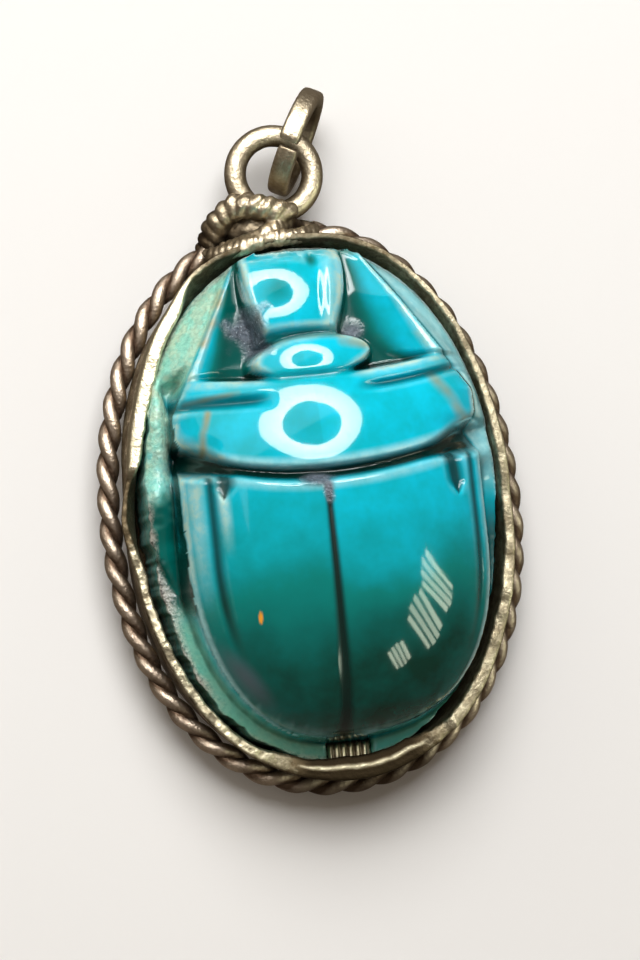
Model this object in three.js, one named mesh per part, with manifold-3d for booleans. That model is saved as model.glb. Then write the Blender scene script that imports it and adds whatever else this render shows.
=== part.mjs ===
// A glazed scarab amulet in an open-backed silver setting with a twisted wire border and two rings.
// Millimetres. +Z is up, +Y runs from the beetle's tail to its head and on to the rings.
// Until the last lines the origin is the middle of the setting, at the level of its underside.
import * as THREE from 'three';
import { mergeVertices } from 'three/addons/utils/BufferGeometryUtils.js';
import Module from 'manifold-3d';

const wasm = await Module();
wasm.setup();

// The silver collar: a strip bent to an oval, a little wider at the rim, leaning to the right.
const COLLAR_FOOT_HALF_WIDTH = 6.42;
const COLLAR_FOOT_HALF_LENGTH = 9.17;
const COLLAR_FOOT_EGG = 0.09;       // how much the foot narrows to the head and widens to the tail
const COLLAR_FLARE = 0.38;          // how much further out the rim lies than the foot
const COLLAR_LEAN = 0.32;           // how far the rim's middle lies to the right of the foot's
const COLLAR_HEIGHT = 3.3;
const COLLAR_WALL = 0.33;
const COLLAR_RIM_SQUARENESS = 2.2;  // exponent of the rim's oval, 2 being an ellipse
const RIM_WAVE = 0.09;              // how far the worn rim rises and falls
const BELLY = 0.27;                 // how far the wall is pushed out on the left, at the border's level
const BELLY_AT = THREE.MathUtils.degToRad(150);
const BELLY_REACH = THREE.MathUtils.degToRad(42);
const LEDGE_REACH = 0.8;            // the inner ledge that carries the stone
const LEDGE_THICKNESS = 0.4;
const SETTING_GAP = 0.05;           // room between the stone and the silver

// The tab at the tail, pushed into a notch of the stone.
const TAB_WIDTH = 1.5;
const TAB_THICKNESS = 0.5;
const TAB_REACH = 0.75;             // how far it stands in from the collar's inner face
const TAB_OFFSET = 0.05;            // its middle, to the right of the setting's
const TAB_RISE = 0.1;               // how far its top stands over the plinth's

// The twisted border: two wires round the foot of the collar.
const ROPE_WIRE = 0.42;
const ROPE_LAY = 2.35;              // length of one full turn of the twist
const ROPE_LEVEL = 1.6;             // height of its middle
const ROPE_BARE_LEFT = 2.45;        // rope that the ring's foot takes the place of, from the top
const ROPE_BARE_RIGHT = 1.05;
const ROPE_STAND_OFF = 0.33;        // how far it lies off the collar's oval on the left
const ROPE_STAND_OFF_AT = THREE.MathUtils.degToRad(140);
const ROPE_STAND_OFF_REACH = THREE.MathUtils.degToRad(75);
const WIRE_GAP = 0.04;              // room between neighbouring wires

// The soldered ring and the open ring that hangs in it.
const BAIL_WIRE = 0.78;
const BAIL_DIAMETER = 3.54;         // outside
const BAIL_LEVEL = 1.9;
const BAIL_OFFSET = 0;              // its middle, to the right of the setting's
const JUMP_DIAMETER = 3.95;         // outside
const JUMP_WIDTH = 0.74;            // along the ring's axis
const JUMP_THICKNESS = 0.54;        // across the wire, from the ring's inside to its outside
const JUMP_SEAM_GAP = 0.22;
const JUMP_TURN = THREE.MathUtils.degToRad(28);   // from straight ahead towards the right
const JUMP_GRIP = THREE.MathUtils.degToRad(40);   // where it crosses the soldered ring, from the top
const JUMP_LEAN = THREE.MathUtils.degToRad(-10);  // out of upright
const JUMP_SEAM_ANGLE = THREE.MathUtils.degToRad(107);
const JUMP_CORNER = 0.6;            // share of the section's half sides that stays flat

// The wire ends and solder at the ring's foot.
const FOOT_WIRE = 0.62;
const FOOT_HALF_WIDTH = 1.45;
const FOOT_HALF_LENGTH = 0.75;
const FOOT_HEIGHT = 2.4;
const FOOT_OFFSET = -0.6;           // the solder's middle, to the left of the setting's

// The stone. Its plinth fills the collar, and the beetle's forms are shares of the plinth's size.
const PLINTH_TOP = 2.85;
const PLINTH_EDGE = 0.22;           // rounding of the plinth's top edge
const BEETLE_HEIGHT = 4.45;         // from the plinth's top to the highest point of the back
const BACK_EDGE_HEIGHT = 1.07;      // from the plinth's top to the outline of the back

// The forms at the head: the height over the plinth at the middle, and how each bends away from there.
const FACE_SLOPE = 0.268;           // how steeply all three fall towards the head
const SHIELD = { height: 4.12, x: 0.56, y: 2.58, crossBend: 8.6, lengthBend: 6.4 };
const CRESCENT = { height: 3.42, x: 0.2, y: 4.86, crossBend: 4.3, lengthBend: 2.4 };
const PLATE = { height: 2.8, x: -0.59, y: 7.41, crossBend: 5.9, lengthBend: 4.2 };
const PLATE_RIDGE = { height: 0.16, x: 1, y: 6.7, lean: 0.1, halfWidth: 0.45 };
const PLATE_DROP = { from: 8.1, to: 8.9, depth: 0.8 };
const CRESCENT_LENS = { x: 0.15, y: 4.92, lean: 0.05, halfWidth: 2.3, halfLength: 0.86 };
const STEP_BEHIND_PLATE = 0.45;

const OVAL_STEPS = 72;

const { lerp, clamp, smoothstep } = THREE.MathUtils;

// Profile helpers.
const vee = (offset, halfWidth) => Math.max(0, 1 - Math.abs(offset) / halfWidth);
const swell = (offset, halfWidth) => vee(offset, halfWidth) ** 2 * (3 - 2 * vee(offset, halfWidth));

function between(knots, at) {
  const last = knots.length - 1;
  if (at <= knots[0][0]) return knots[0][1];
  for (let i = 1; i <= last; i++) {
    if (at <= knots[i][0]) {
      const share = (at - knots[i - 1][0]) / (knots[i][0] - knots[i - 1][0]);
      return lerp(knots[i - 1][1], knots[i][1], share);
    }
  }
  return knots[last][1];
}

// The oval of the collar's outside at a level, drawn in by an inset.
function collarOval(level, inset = 0) {
  const share = level / COLLAR_HEIGHT;
  return {
    middle: COLLAR_LEAN * share,
    halfWidth: COLLAR_FOOT_HALF_WIDTH + COLLAR_FLARE * share - inset,
    halfLength: COLLAR_FOOT_HALF_LENGTH + COLLAR_FLARE * share - inset,
    squareness: lerp(2, COLLAR_RIM_SQUARENESS, share),
    egg: COLLAR_FOOT_EGG * clamp(1 - share, 0, 1),
  };
}

function ovalPoint(oval, angle, level) {
  const power = 2 / oval.squareness;
  const bend = (value) => Math.sign(value) * Math.abs(value) ** power;
  return new THREE.Vector3(
    oval.middle + oval.halfWidth * bend(Math.cos(angle)) * (1 - oval.egg * bend(Math.sin(angle))),
    oval.halfLength * bend(Math.sin(angle)),
    level,
  );
}

// The rim's level, which rises and falls with wear.
const rimLevel = (angle) => COLLAR_HEIGHT
  + RIM_WAVE * (Math.sin(5 * angle + 0.6) + 0.6 * Math.sin(11 * angle)) / 1.6;

function ovalHalfWidthAt(oval, y) {
  const rest = Math.max(0, 1 - Math.abs(y / oval.halfLength) ** oval.squareness);
  return oval.halfWidth * rest ** (1 / oval.squareness) * (1 - oval.egg * y / oval.halfLength);
}

// A closed body from rows of points, each row as long as the next.
function rowsToGeometry(rows, { closeRows = false, closeColumns = false, capEnds = false }) {
  const count = rows[0].length;
  const points = rows.flat();
  const faces = [];
  const quad = (a, b, c, d) => faces.push(a, b, c, a, c, d);
  const rowSteps = closeRows ? rows.length : rows.length - 1;
  const columnSteps = closeColumns ? count : count - 1;
  for (let i = 0; i < rowSteps; i++) {
    for (let j = 0; j < columnSteps; j++) {
      const next = (i + 1) % rows.length;
      const right = (j + 1) % count;
      quad(i * count + j, i * count + right, next * count + right, next * count + j);
    }
  }
  if (capEnds) {
    for (const [start, isLast] of [[0, false], [(rows.length - 1) * count, true]]) {
      const centre = points.length;
      const sum = new THREE.Vector3();
      for (let j = 0; j < count; j++) sum.add(points[start + j]);
      points.push(sum.divideScalar(count));
      for (let j = 0; j < count; j++) {
        const a = start + j;
        const b = start + (j + 1) % count;
        if (isLast) faces.push(centre, a, b);
        else faces.push(centre, b, a);
      }
    }
  }
  const geometry = new THREE.BufferGeometry().setFromPoints(points);
  geometry.setIndex(faces);
  return geometry;
}

function solid(geometry) {
  const bare = geometry.clone();
  bare.deleteAttribute('normal');
  bare.deleteAttribute('uv');
  const merged = mergeVertices(bare, 1e-4);
  return new wasm.Manifold(new wasm.Mesh({
    numProp: 3,
    vertProperties: new Float32Array(merged.attributes.position.array),
    triVerts: new Uint32Array(merged.index.array),
  }));
}

function fromSolid(body) {
  const mesh = body.getMesh();
  const geometry = new THREE.BufferGeometry();
  geometry.setAttribute('position', new THREE.BufferAttribute(mesh.vertProperties, 3));
  geometry.setIndex(new THREE.BufferAttribute(mesh.triVerts, 1));
  return geometry;
}

function roundSection(radius, sides) {
  const corners = [];
  for (let i = 0; i < sides; i++) {
    const angle = i / sides * 2 * Math.PI;
    corners.push(new THREE.Vector2(radius * Math.cos(angle), radius * Math.sin(angle)));
  }
  return new THREE.Shape(corners);
}

function wire(path, radius, sides, steps) {
  path.arcLengthDivisions = steps * 4;
  return new THREE.ExtrudeGeometry(roundSection(radius, sides), { steps, extrudePath: path });
}

// The stone: plinth and beetle, carved in one.
const plinthFoot = LEDGE_THICKNESS + SETTING_GAP;
const plinthOval = (level, inset = 0) => collarOval(level, COLLAR_WALL + SETTING_GAP + inset);

function makePlinth() {
  const rows = [];
  for (const [level, inset] of [
    [plinthFoot, 0],
    [PLINTH_TOP - PLINTH_EDGE, 0],
    [PLINTH_TOP - PLINTH_EDGE * 0.35, PLINTH_EDGE * 0.35],
    [PLINTH_TOP, PLINTH_EDGE],
  ]) {
    const row = [];
    for (let i = 0; i < OVAL_STEPS; i++) {
      row.push(ovalPoint(plinthOval(level, inset), i / OVAL_STEPS * 2 * Math.PI, level));
    }
    rows.push(row);
  }
  return rowsToGeometry(rows, { closeColumns: true, capEnds: true });
}

// Stations along the back, as shares of the plinth's half length, tail to head.
const STATION = {
  tail: -0.912,
  widest: -0.18,
  wingFront: 0.056,
  waist: 0.09,
  shieldBack: 0.116,
  slit: 0.378,
  shieldFront: 0.465,
  crescentBack: 0.475,
  crescentFront: 0.612,
  headBack: 0.66,
  headFront: 0.975,
};
const CROWN = -0.1;                 // the station of the back's highest point
const HALF_WIDTH_LEFT = 0.745;      // of the wing cases, from their seam, as shares of the half width
const HALF_WIDTH_RIGHT = 0.91;
const SEAM_AT = -0.05;              // where the seam lies, across the plinth
const HEAD_SHIFT = -0.05;           // how far the head and the crescent lie to the left of it
const PLATE_EDGE = 0.34;            // across the back, from the seam to a side's outline
const PLATE_EDGE_FRONT = 0.86;
const MARGIN_LEFT = 0.8;            // the groove inside each wing case's edge
const MARGIN_RIGHT = 0.9;
const ROUNDNESS_LEFT = 2.1;         // exponents of the outline's curve to the tail
const ROUNDNESS_RIGHT = 2.4;
const WAIST_PINCH = 0.05;           // how far the outline draws in beside the shield's back
const HEAD_TAPER = 0.62;            // how much of the width the outline loses along the head
const HEAD_TAPER_FROM = 0.37;

// How far the ends of a cross line lie ahead of its middle, left and right, in half lengths.
const SWEEP_LEFT = [[STATION.tail, 0], [STATION.waist, 0.12], [STATION.slit, 0.015],
  [STATION.shieldFront, 0.035], [STATION.crescentFront, -0.085], [STATION.headFront, -0.04]];
const SWEEP_RIGHT = [[STATION.tail, 0], [STATION.waist, 0.11], [STATION.slit, 0.07],
  [STATION.shieldFront, 0.055], [STATION.crescentFront, -0.08], [STATION.headFront, -0.04]];

// The beetle's outline from its seam, narrowing to the tail, to the waist and along the head.
function backHalfWidth(along, side) {
  const full = side < 0 ? HALF_WIDTH_LEFT : HALF_WIDTH_RIGHT;
  const roundness = side < 0 ? ROUNDNESS_LEFT : ROUNDNESS_RIGHT;
  const toTail = clamp((STATION.widest - along) / (STATION.widest - STATION.tail), 0, 0.995);
  const tail = (1 - toTail ** roundness) ** (1 / roundness);
  const taper = clamp((along - HEAD_TAPER_FROM) / (STATION.headFront - HEAD_TAPER_FROM), 0, 1);
  const head = 1 - HEAD_TAPER * taper;
  const waist = 1 - WAIST_PINCH * swell(along - 0.22, 0.07);
  return full * tail * head * waist;
}

// Beside the head the lines that run lengthwise fan out to the front corners.
function fan(across, along) {
  const size = Math.abs(across);
  const share = clamp((along - STATION.headBack) / (STATION.headFront - STATION.headBack), 0, 1);
  const edge = lerp(PLATE_EDGE, PLATE_EDGE_FRONT, share);
  const fanned = size < PLATE_EDGE
    ? size / PLATE_EDGE * edge
    : edge + (size - PLATE_EDGE) / (1 - PLATE_EDGE) * (1 - edge);
  return Math.sign(across) * fanned;
}

// Grooves of the back, in millimetres.
const SEAM_DEPTH = 0.2;
const MARGIN_DEPTH = 0.22;
const WAIST_DEPTH = 0.5;
const WAIST_CORNER_DEPTH = 0.6;     // what its ends are deeper than its middle
const SLIT_DEPTH = 0.4;
const DOME_LENGTH = 1.13;           // from the crown to where the back would come down past the head

// The crests beside the head and the floor between them and the plate, as heights at stations.
const CREST_LEFT = [[0.46, 1.7], [0.55, 1.9], [0.8, 1.6], [0.97, 1.1]];
const CREST_RIGHT = [[0.46, 1.75], [0.55, 2.1], [0.8, 1.9], [0.97, 1.3]];
const CHEEK_FLOOR = [[0.46, 1.35], [0.6, 1.35], [0.8, 1.3], [0.97, 1.1]];
const CREST_EDGE = 0.97;            // where the crests stand, across the back
const CHEEK_FOOT_LEFT = 0.47;       // where the floor starts to rise to a crest
const CHEEK_FOOT_RIGHT = [[0.485, 0.72], [0.56, 0.6], [0.655, 0.55], [0.78, 0.44], [0.97, 0.4]];

const sloping = (form, y) =>
  form.height - FACE_SLOPE * (y - form.y) - (y - form.y) ** 2 / (2 * form.lengthBend);
const crowned = (form, x, y) => sloping(form, y) - (x - form.x) ** 2 / (2 * form.crossBend);

// The dome of the wing cases, and the shield that carries it on towards the head.
function domeHeight(across, along, x, y) {
  const size = Math.abs(across);
  const roundedOff = (1 - size ** 2.15) ** (1 / 2.1);
  if (along <= STATION.waist) {
    const reach = along < CROWN ? CROWN - STATION.tail + 0.004 : DOME_LENGTH;
    const lengthwise = (1 - clamp(Math.abs(along - CROWN) / reach, 0, 1) ** 2.4) ** (1 / 2.4);
    return BACK_EDGE_HEIGHT * Math.min(1, lengthwise * 1.6)
      + (BEETLE_HEIGHT - BACK_EDGE_HEIGHT) * lengthwise * roundedOff;
  }
  const rise = sloping(SHIELD, y) - BACK_EDGE_HEIGHT;
  const crown = 1 - (x - SHIELD.x) ** 2 / (2 * SHIELD.crossBend * rise);
  return BACK_EDGE_HEIGHT + rise * lerp(crown, (1 - size ** 2) ** (1 / 2.1), smoothstep(size, 0.35, 0.75));
}

// What stands in front of the shield: the crescent, the head plate and the cheeks beside it.
function frontHeight(across, along, x, y) {
  const size = Math.abs(across);
  const foot = across < 0 ? CHEEK_FOOT_LEFT : between(CHEEK_FOOT_RIGHT, along);
  const rise = clamp((size - foot) / (CREST_EDGE - foot), 0, 1);
  const crest = between(across < 0 ? CREST_LEFT : CREST_RIGHT, along);
  let height = lerp(between(CHEEK_FLOOR, along), crest, rise ** 1.5);
  const lens = 1 - ((x - CRESCENT_LENS.x) / CRESCENT_LENS.halfWidth) ** 2
    - ((y - CRESCENT_LENS.y - CRESCENT_LENS.lean * x) / CRESCENT_LENS.halfLength) ** 2;
  height = lerp(height, crowned(CRESCENT, x, y), smoothstep(lens, 0, 0.28));
  const ridgeX = PLATE_RIDGE.x + PLATE_RIDGE.lean * (y - PLATE_RIDGE.y);
  const plate = crowned(PLATE, x, y) + PLATE_RIDGE.height * swell(x - ridgeX, PLATE_RIDGE.halfWidth)
    - PLATE_DROP.depth * smoothstep(y, PLATE_DROP.from, PLATE_DROP.to) ** 2;
  const behind = smoothstep(along, 0.6, 0.62)
    * (1 - smoothstep(size, PLATE_EDGE - 0.02, PLATE_EDGE + 0.08));
  const onPlate = smoothstep(along, 0.632, STATION.headBack)
    * (1 - smoothstep(size, PLATE_EDGE - 0.03, PLATE_EDGE + 0.06));
  height = Math.max(height, lerp(height, plate - STEP_BEHIND_PLATE, behind));
  return lerp(height, plate, onPlate);
}

// The height of the back over the plinth's top, with its grooves.
function backHeight(across, along, x, y) {
  const size = Math.abs(across);
  const inWings = 1 - smoothstep(along, STATION.wingFront, STATION.waist);
  const margin = across < 0 ? MARGIN_LEFT : MARGIN_RIGHT;
  const slit = smoothstep(size, 0.22, 0.45) * vee(along - STATION.slit, 0.022);
  const height = domeHeight(across, along, x, y)
    - inWings * (SEAM_DEPTH * vee(size, 0.035) + MARGIN_DEPTH * vee(size - margin, 0.04))
    - (WAIST_DEPTH + WAIST_CORNER_DEPTH * smoothstep(size, 0.6, 1)) * vee(along - STATION.waist, 0.03)
    - SLIT_DEPTH * slit;
  const ahead = smoothstep(along, STATION.shieldFront, STATION.crescentBack);
  return Math.max(lerp(height, frontHeight(across, along, x, y), ahead), 0.45);
}

// Lines that run lengthwise, from the seam out, close together where something is carved.
const acrossLines = (margin) => [0, 0.035, 0.1, 0.18, 0.25, 0.31, 0.345, 0.4, 0.455, 0.52, 0.62, 0.72,
  margin - 0.04, margin, margin + 0.04, 0.97, 1];
const ALONG_STEPS = [
  [STATION.tail, STATION.wingFront, 13],
  [STATION.wingFront, STATION.waist, 1],
  [STATION.waist, STATION.shieldBack, 1],
  [STATION.shieldBack, STATION.slit - 0.022, 4],
  [STATION.slit - 0.022, STATION.slit + 0.022, 2],
  [STATION.slit + 0.022, STATION.shieldFront, 1],
  [STATION.shieldFront, STATION.crescentBack, 1],
  [STATION.crescentBack, STATION.crescentFront, 4],
  [STATION.crescentFront, STATION.headBack, 2],
  [STATION.headBack, STATION.headFront, 5],
];

// The legs lie along each flank, between the back's edge and the plinth's.
const FLANK_MAX = 1.25;
const FLANK_INSET = 0.3;
const FLANK_SHARES = [0.3, 0.62, 1];
const FLANK_FOOT = 0.12;            // height of the flank's outermost line over the plinth
const BEETLE_ROOT = 0.4;            // how deep the beetle reaches into the plinth
const legSwell = (along) => 0.5 + 0.5 * Math.cos((along + 0.12) * 9.5);

function makeBeetle() {
  const base = PLINTH_TOP - BEETLE_ROOT;
  const oval = plinthOval(PLINTH_TOP);
  const seamX = oval.middle + SEAM_AT * oval.halfWidth;
  const stations = [STATION.tail];
  for (const [from, to, steps] of ALONG_STEPS) {
    for (let i = 1; i <= steps; i++) stations.push(lerp(from, to, i / steps));
  }
  const columns = [...acrossLines(MARGIN_LEFT).slice(1).reverse().map((value) => -value),
    ...acrossLines(MARGIN_RIGHT)];
  const rows = stations.map((along) => {
    const spot = (across) => {
      const sweep = between(across < 0 ? SWEEP_LEFT : SWEEP_RIGHT, along);
      const y = along + sweep * across * across;
      const shift = HEAD_SHIFT * smoothstep(along, STATION.slit, STATION.headBack) * (1 - across * across);
      const x = seamX + (shift + fan(across, along) * backHalfWidth(y, across)) * oval.halfWidth;
      return [x, y * oval.halfLength];
    };
    const top = columns.map((across) => {
      const [x, y] = spot(across);
      return new THREE.Vector3(x, y, PLINTH_TOP + backHeight(across, along, x, y));
    });
    const flank = (side) => {
      const [x, y] = spot(side);
      const plinthEdge = oval.middle + side * (ovalHalfWidthAt(oval, y) - FLANK_INSET);
      const fade = smoothstep(along, STATION.tail, -0.55) * (1 - 0.8 * smoothstep(along, 0.6, 0.97));
      const room = Math.max(0.08, Math.min(FLANK_MAX * fade, side * (plinthEdge - x)));
      const edgeLevel = backHeight(side, along, x, y);
      const levels = [edgeLevel * 0.55, edgeLevel * (0.6 + 0.35 * legSwell(along)) * fade, FLANK_FOOT];
      return FLANK_SHARES.map((share, i) => new THREE.Vector3(
        x + side * room * share, y, PLINTH_TOP + levels[i]));
    };
    const left = flank(-1).reverse();
    const right = flank(1);
    const surface = [...left, ...top, ...right];
    const foot = (point) => new THREE.Vector3(point.x, point.y, base);
    return [...surface, foot(right[right.length - 1]), foot(left[0])];
  });
  return rowsToGeometry(rows, { closeColumns: true, capEnds: true });
}

const tabMiddleX = collarOval(PLINTH_TOP).middle + TAB_OFFSET;
const tabOuterY = -(collarOval(PLINTH_TOP, COLLAR_WALL / 2).halfLength);
const tabInnerY = -(collarOval(PLINTH_TOP, COLLAR_WALL).halfLength - TAB_REACH);

function tabBlock(room) {
  const block = new THREE.BoxGeometry(
    TAB_WIDTH + 2 * room, tabInnerY - tabOuterY + 2 * room,
    TAB_THICKNESS + room + BEETLE_HEIGHT * (room > 0));
  const level = PLINTH_TOP + TAB_RISE - TAB_THICKNESS - room;
  block.translate(tabMiddleX, (tabInnerY + tabOuterY) / 2, level + block.parameters.depth / 2);
  return block;
}

function makeScarab() {
  const stone = solid(makePlinth()).add(solid(makeBeetle()));
  return fromSolid(stone.subtract(solid(tabBlock(SETTING_GAP))));
}

// The collar with its ledge and tab.
function makeBezel() {
  const profile = [
    (angle) => ovalPoint(collarOval(0), angle, 0),
    (angle) => {
      const belly = BELLY * swell(angle - BELLY_AT, BELLY_REACH);
      return ovalPoint(collarOval(ROPE_LEVEL, -belly), angle, ROPE_LEVEL);
    },
    (angle) => ovalPoint(collarOval(COLLAR_HEIGHT), angle, rimLevel(angle)),
    (angle) => ovalPoint(collarOval(COLLAR_HEIGHT, COLLAR_WALL), angle, rimLevel(angle)),
    (angle) => ovalPoint(collarOval(LEDGE_THICKNESS, COLLAR_WALL), angle, LEDGE_THICKNESS),
    (angle) => ovalPoint(collarOval(LEDGE_THICKNESS, COLLAR_WALL + LEDGE_REACH), angle, LEDGE_THICKNESS),
    (angle) => ovalPoint(collarOval(0, COLLAR_WALL + LEDGE_REACH), angle, 0),
  ];
  const rows = profile.map((place) => {
    const row = [];
    for (let i = 0; i < OVAL_STEPS; i++) row.push(place(i / OVAL_STEPS * 2 * Math.PI));
    return row;
  });
  const collar = rowsToGeometry(rows, { closeRows: true, closeColumns: true });
  return fromSolid(solid(collar).add(solid(tabBlock(0))));
}

// The rope border.
const ropeRadius = ROPE_WIRE / 2 + WIRE_GAP / 2;
const ropeInset = -(ropeRadius + ROPE_WIRE / 2 + WIRE_GAP);
const ropeHalfLength = collarOval(ROPE_LEVEL, ropeInset).halfLength;

// The middle of the rope runs from the top round to the left, beside the collar and further off there.
function ropeMiddle() {
  const oval = collarOval(ROPE_LEVEL);
  const places = [];
  for (let i = 0; i < OVAL_STEPS; i++) {
    const angle = (i / OVAL_STEPS + 0.25) * 2 * Math.PI;
    const place = ovalPoint(oval, angle, ROPE_LEVEL);
    const ahead = ovalPoint(oval, angle + 0.01, ROPE_LEVEL).sub(ovalPoint(oval, angle - 0.01, ROPE_LEVEL));
    ahead.normalize();
    const out = ROPE_STAND_OFF * swell(angle - ROPE_STAND_OFF_AT, ROPE_STAND_OFF_REACH) - ropeInset;
    places.push(new THREE.Vector3(place.x + ahead.y * out, place.y - ahead.x * out, ROPE_LEVEL));
  }
  const middle = new THREE.CatmullRomCurve3(places, true);
  middle.arcLengthDivisions = OVAL_STEPS * 10;
  return middle;
}

class RopeStrand extends THREE.Curve {
  constructor(phase) {
    super();
    this.phase = phase;
    this.middle = ropeMiddle();
    const round = this.middle.getLength();
    const length = round - ROPE_BARE_LEFT - ROPE_BARE_RIGHT;
    this.start = ROPE_BARE_LEFT / round;
    this.share = length / round;
    this.turns = Math.round(length / ROPE_LAY);
  }

  getPoint(share, target = new THREE.Vector3()) {
    const place = this.start + share * this.share;
    const middle = this.middle.getPointAt(place);
    const tangent = this.middle.getTangentAt(place);
    const turn = this.phase + share * this.turns * 2 * Math.PI;
    const out = ropeRadius * Math.cos(turn);
    return target.set(
      middle.x + tangent.y * out,
      middle.y - tangent.x * out,
      ROPE_LEVEL + ropeRadius * Math.sin(turn),
    );
  }
}

function makeStrand(phase) {
  const path = new RopeStrand(phase);
  return wire(path, ROPE_WIRE / 2, 5, path.turns * 6);
}

// The rings.
const bailRadius = (BAIL_DIAMETER - BAIL_WIRE) / 2;
const bailMiddleY = ropeHalfLength + ropeRadius + WIRE_GAP + BAIL_DIAMETER / 2;

function makeBail(room = 0) {
  const ring = new THREE.TorusGeometry(bailRadius, BAIL_WIRE / 2 + room, 8, 28);
  return ring.translate(BAIL_OFFSET, bailMiddleY, BAIL_LEVEL);
}

class RingArc extends THREE.Curve {
  getPoint(share, target = new THREE.Vector3()) {
    const radius = (JUMP_DIAMETER - JUMP_THICKNESS) / 2;
    const opening = JUMP_SEAM_GAP / radius;
    const angle = JUMP_SEAM_ANGLE + opening / 2 + share * (2 * Math.PI - opening);
    return target.set(radius * Math.cos(angle), 0, radius * Math.sin(angle));
  }
}

function makeJumpRing() {
  const across = JUMP_THICKNESS / 2;
  const along = JUMP_WIDTH / 2;
  const flatAcross = across * JUMP_CORNER;
  const flatAlong = along * JUMP_CORNER;
  const section = new THREE.Shape([
    [across, -flatAlong], [across, flatAlong], [flatAcross, along], [-flatAcross, along],
    [-across, flatAlong], [-across, -flatAlong], [-flatAcross, -along], [flatAcross, -along],
  ].map(([x, y]) => new THREE.Vector2(x, y)));
  const path = new RingArc();
  path.arcLengthDivisions = 200;
  const ring = new THREE.ExtrudeGeometry(section, { steps: 26, extrudePath: path });
  ring.rotateX(JUMP_LEAN);
  ring.rotateZ(Math.PI / 2 - JUMP_TURN);
  ring.computeBoundingBox();
  // It stands on the same surface as the collar, round the far right of the soldered ring's wire.
  return ring.translate(
    BAIL_OFFSET + bailRadius * Math.sin(JUMP_GRIP),
    bailMiddleY + bailRadius * Math.cos(JUMP_GRIP),
    -ring.boundingBox.min.z,
  );
}

// The curled wire ends and the solder that hold the soldered ring to the collar.
function makeRingFoot() {
  const top = ropeHalfLength;
  const curl = new THREE.CatmullRomCurve3([
    new THREE.Vector3(-1.95, top - 0.1, 1.75),
    new THREE.Vector3(-1.7, top + 0.55, 2.1),
    new THREE.Vector3(-0.85, top + 0.95, 2.6),
    new THREE.Vector3(0, top + 0.6, 2.75),
    new THREE.Vector3(0.62, top + 0.35, 2.3),
  ]);
  const band = new THREE.CatmullRomCurve3([
    new THREE.Vector3(-1.5, top - 0.25, 2.5),
    new THREE.Vector3(-0.6, top + 0.05, 2.75),
    new THREE.Vector3(0.55, top + 0.1, 2.55),
  ]);
  const solder = new THREE.SphereGeometry(1, 14, 8);
  solder.rotateX(Math.PI / 2);
  solder.scale(FOOT_HALF_WIDTH, FOOT_HALF_LENGTH, FOOT_HEIGHT / 2);
  solder.translate(FOOT_OFFSET, top + 0.1, BAIL_LEVEL - 0.15);
  return [wire(curl, FOOT_WIRE / 2, 7, 10), wire(band, FOOT_WIRE / 2, 7, 5)]
    .reduce((body, end) => body.add(solid(end)), solid(solder))
    .subtract(solid(collarCore(WIRE_GAP)))
    .subtract(solid(makeBail(WIRE_GAP)));
}

// What the collar takes up with its inside filled, grown by some room.
function collarCore(room) {
  const rows = [-COLLAR_HEIGHT, 2 * COLLAR_HEIGHT].map((level) => {
    const row = [];
    for (let i = 0; i < OVAL_STEPS; i++) {
      row.push(ovalPoint(collarOval(level, -room), i / OVAL_STEPS * 2 * Math.PI, level));
    }
    return row;
  });
  return rowsToGeometry(rows, { closeColumns: true, capEnds: true });
}

function makeGroup() {
  const group = new THREE.Group();
  const silver = () => new THREE.MeshStandardMaterial({ color: 0x8d7a62, roughness: 0.38, metalness: 1 });
  const glaze = new THREE.MeshStandardMaterial({ color: 0x129aa6, roughness: 0.16, metalness: 0 });
  const piece = (name, geometry, material) => {
    const mesh = new THREE.Mesh(geometry, material);
    mesh.name = name;
    group.add(mesh);
  };
  const bezel = makeBezel();
  const strands = [0, Math.PI].map(makeStrand);
  piece('scarab', makeScarab(), glaze);
  piece('bezel', bezel, silver());
  strands.forEach((strand, i) => piece(`rope_strand_${i + 1}`, strand, silver()));
  piece('ring_foot', fromSolid(makeRingFoot()), silver());
  piece('bail_ring', makeBail(), silver());
  piece('jump_ring', makeJumpRing(), silver());
  return group;
}

const group = makeGroup();
const box = new THREE.Box3().setFromObject(group);
const middle = box.getCenter(new THREE.Vector3());
group.position.set(-middle.x, -middle.y, -box.min.z);

export default group;
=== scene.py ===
"""The looks of a glazed scarab amulet in an old silver setting with a twisted wire border and two rings.

Shapes are worked out in millimetres in the setting's own frame: its origin is the middle of the collar at
the level of its underside, +Y runs from the beetle's tail to its head and +Z is up. Every piece is moved
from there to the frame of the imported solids, in metres, when its mesh is made.
"""

import logging
import math
from dataclasses import dataclass, field
from enum import Enum

import bmesh
import bpy
import numpy as np
from mathutils import Matrix, Vector


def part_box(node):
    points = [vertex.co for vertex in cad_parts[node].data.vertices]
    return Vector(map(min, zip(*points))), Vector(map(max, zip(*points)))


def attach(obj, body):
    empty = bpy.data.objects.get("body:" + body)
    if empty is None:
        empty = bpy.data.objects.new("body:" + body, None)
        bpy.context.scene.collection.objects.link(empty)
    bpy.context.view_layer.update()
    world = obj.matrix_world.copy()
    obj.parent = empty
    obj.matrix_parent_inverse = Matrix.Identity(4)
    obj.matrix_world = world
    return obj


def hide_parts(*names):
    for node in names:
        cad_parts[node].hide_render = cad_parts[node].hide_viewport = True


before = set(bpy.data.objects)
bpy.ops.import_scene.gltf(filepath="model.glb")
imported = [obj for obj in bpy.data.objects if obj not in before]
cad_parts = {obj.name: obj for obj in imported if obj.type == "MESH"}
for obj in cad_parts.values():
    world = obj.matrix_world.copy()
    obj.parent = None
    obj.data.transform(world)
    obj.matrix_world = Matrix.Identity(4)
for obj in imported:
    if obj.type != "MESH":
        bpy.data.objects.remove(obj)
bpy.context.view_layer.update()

LOG = logging.getLogger("scarab_amulet")
MM = 0.001

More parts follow.
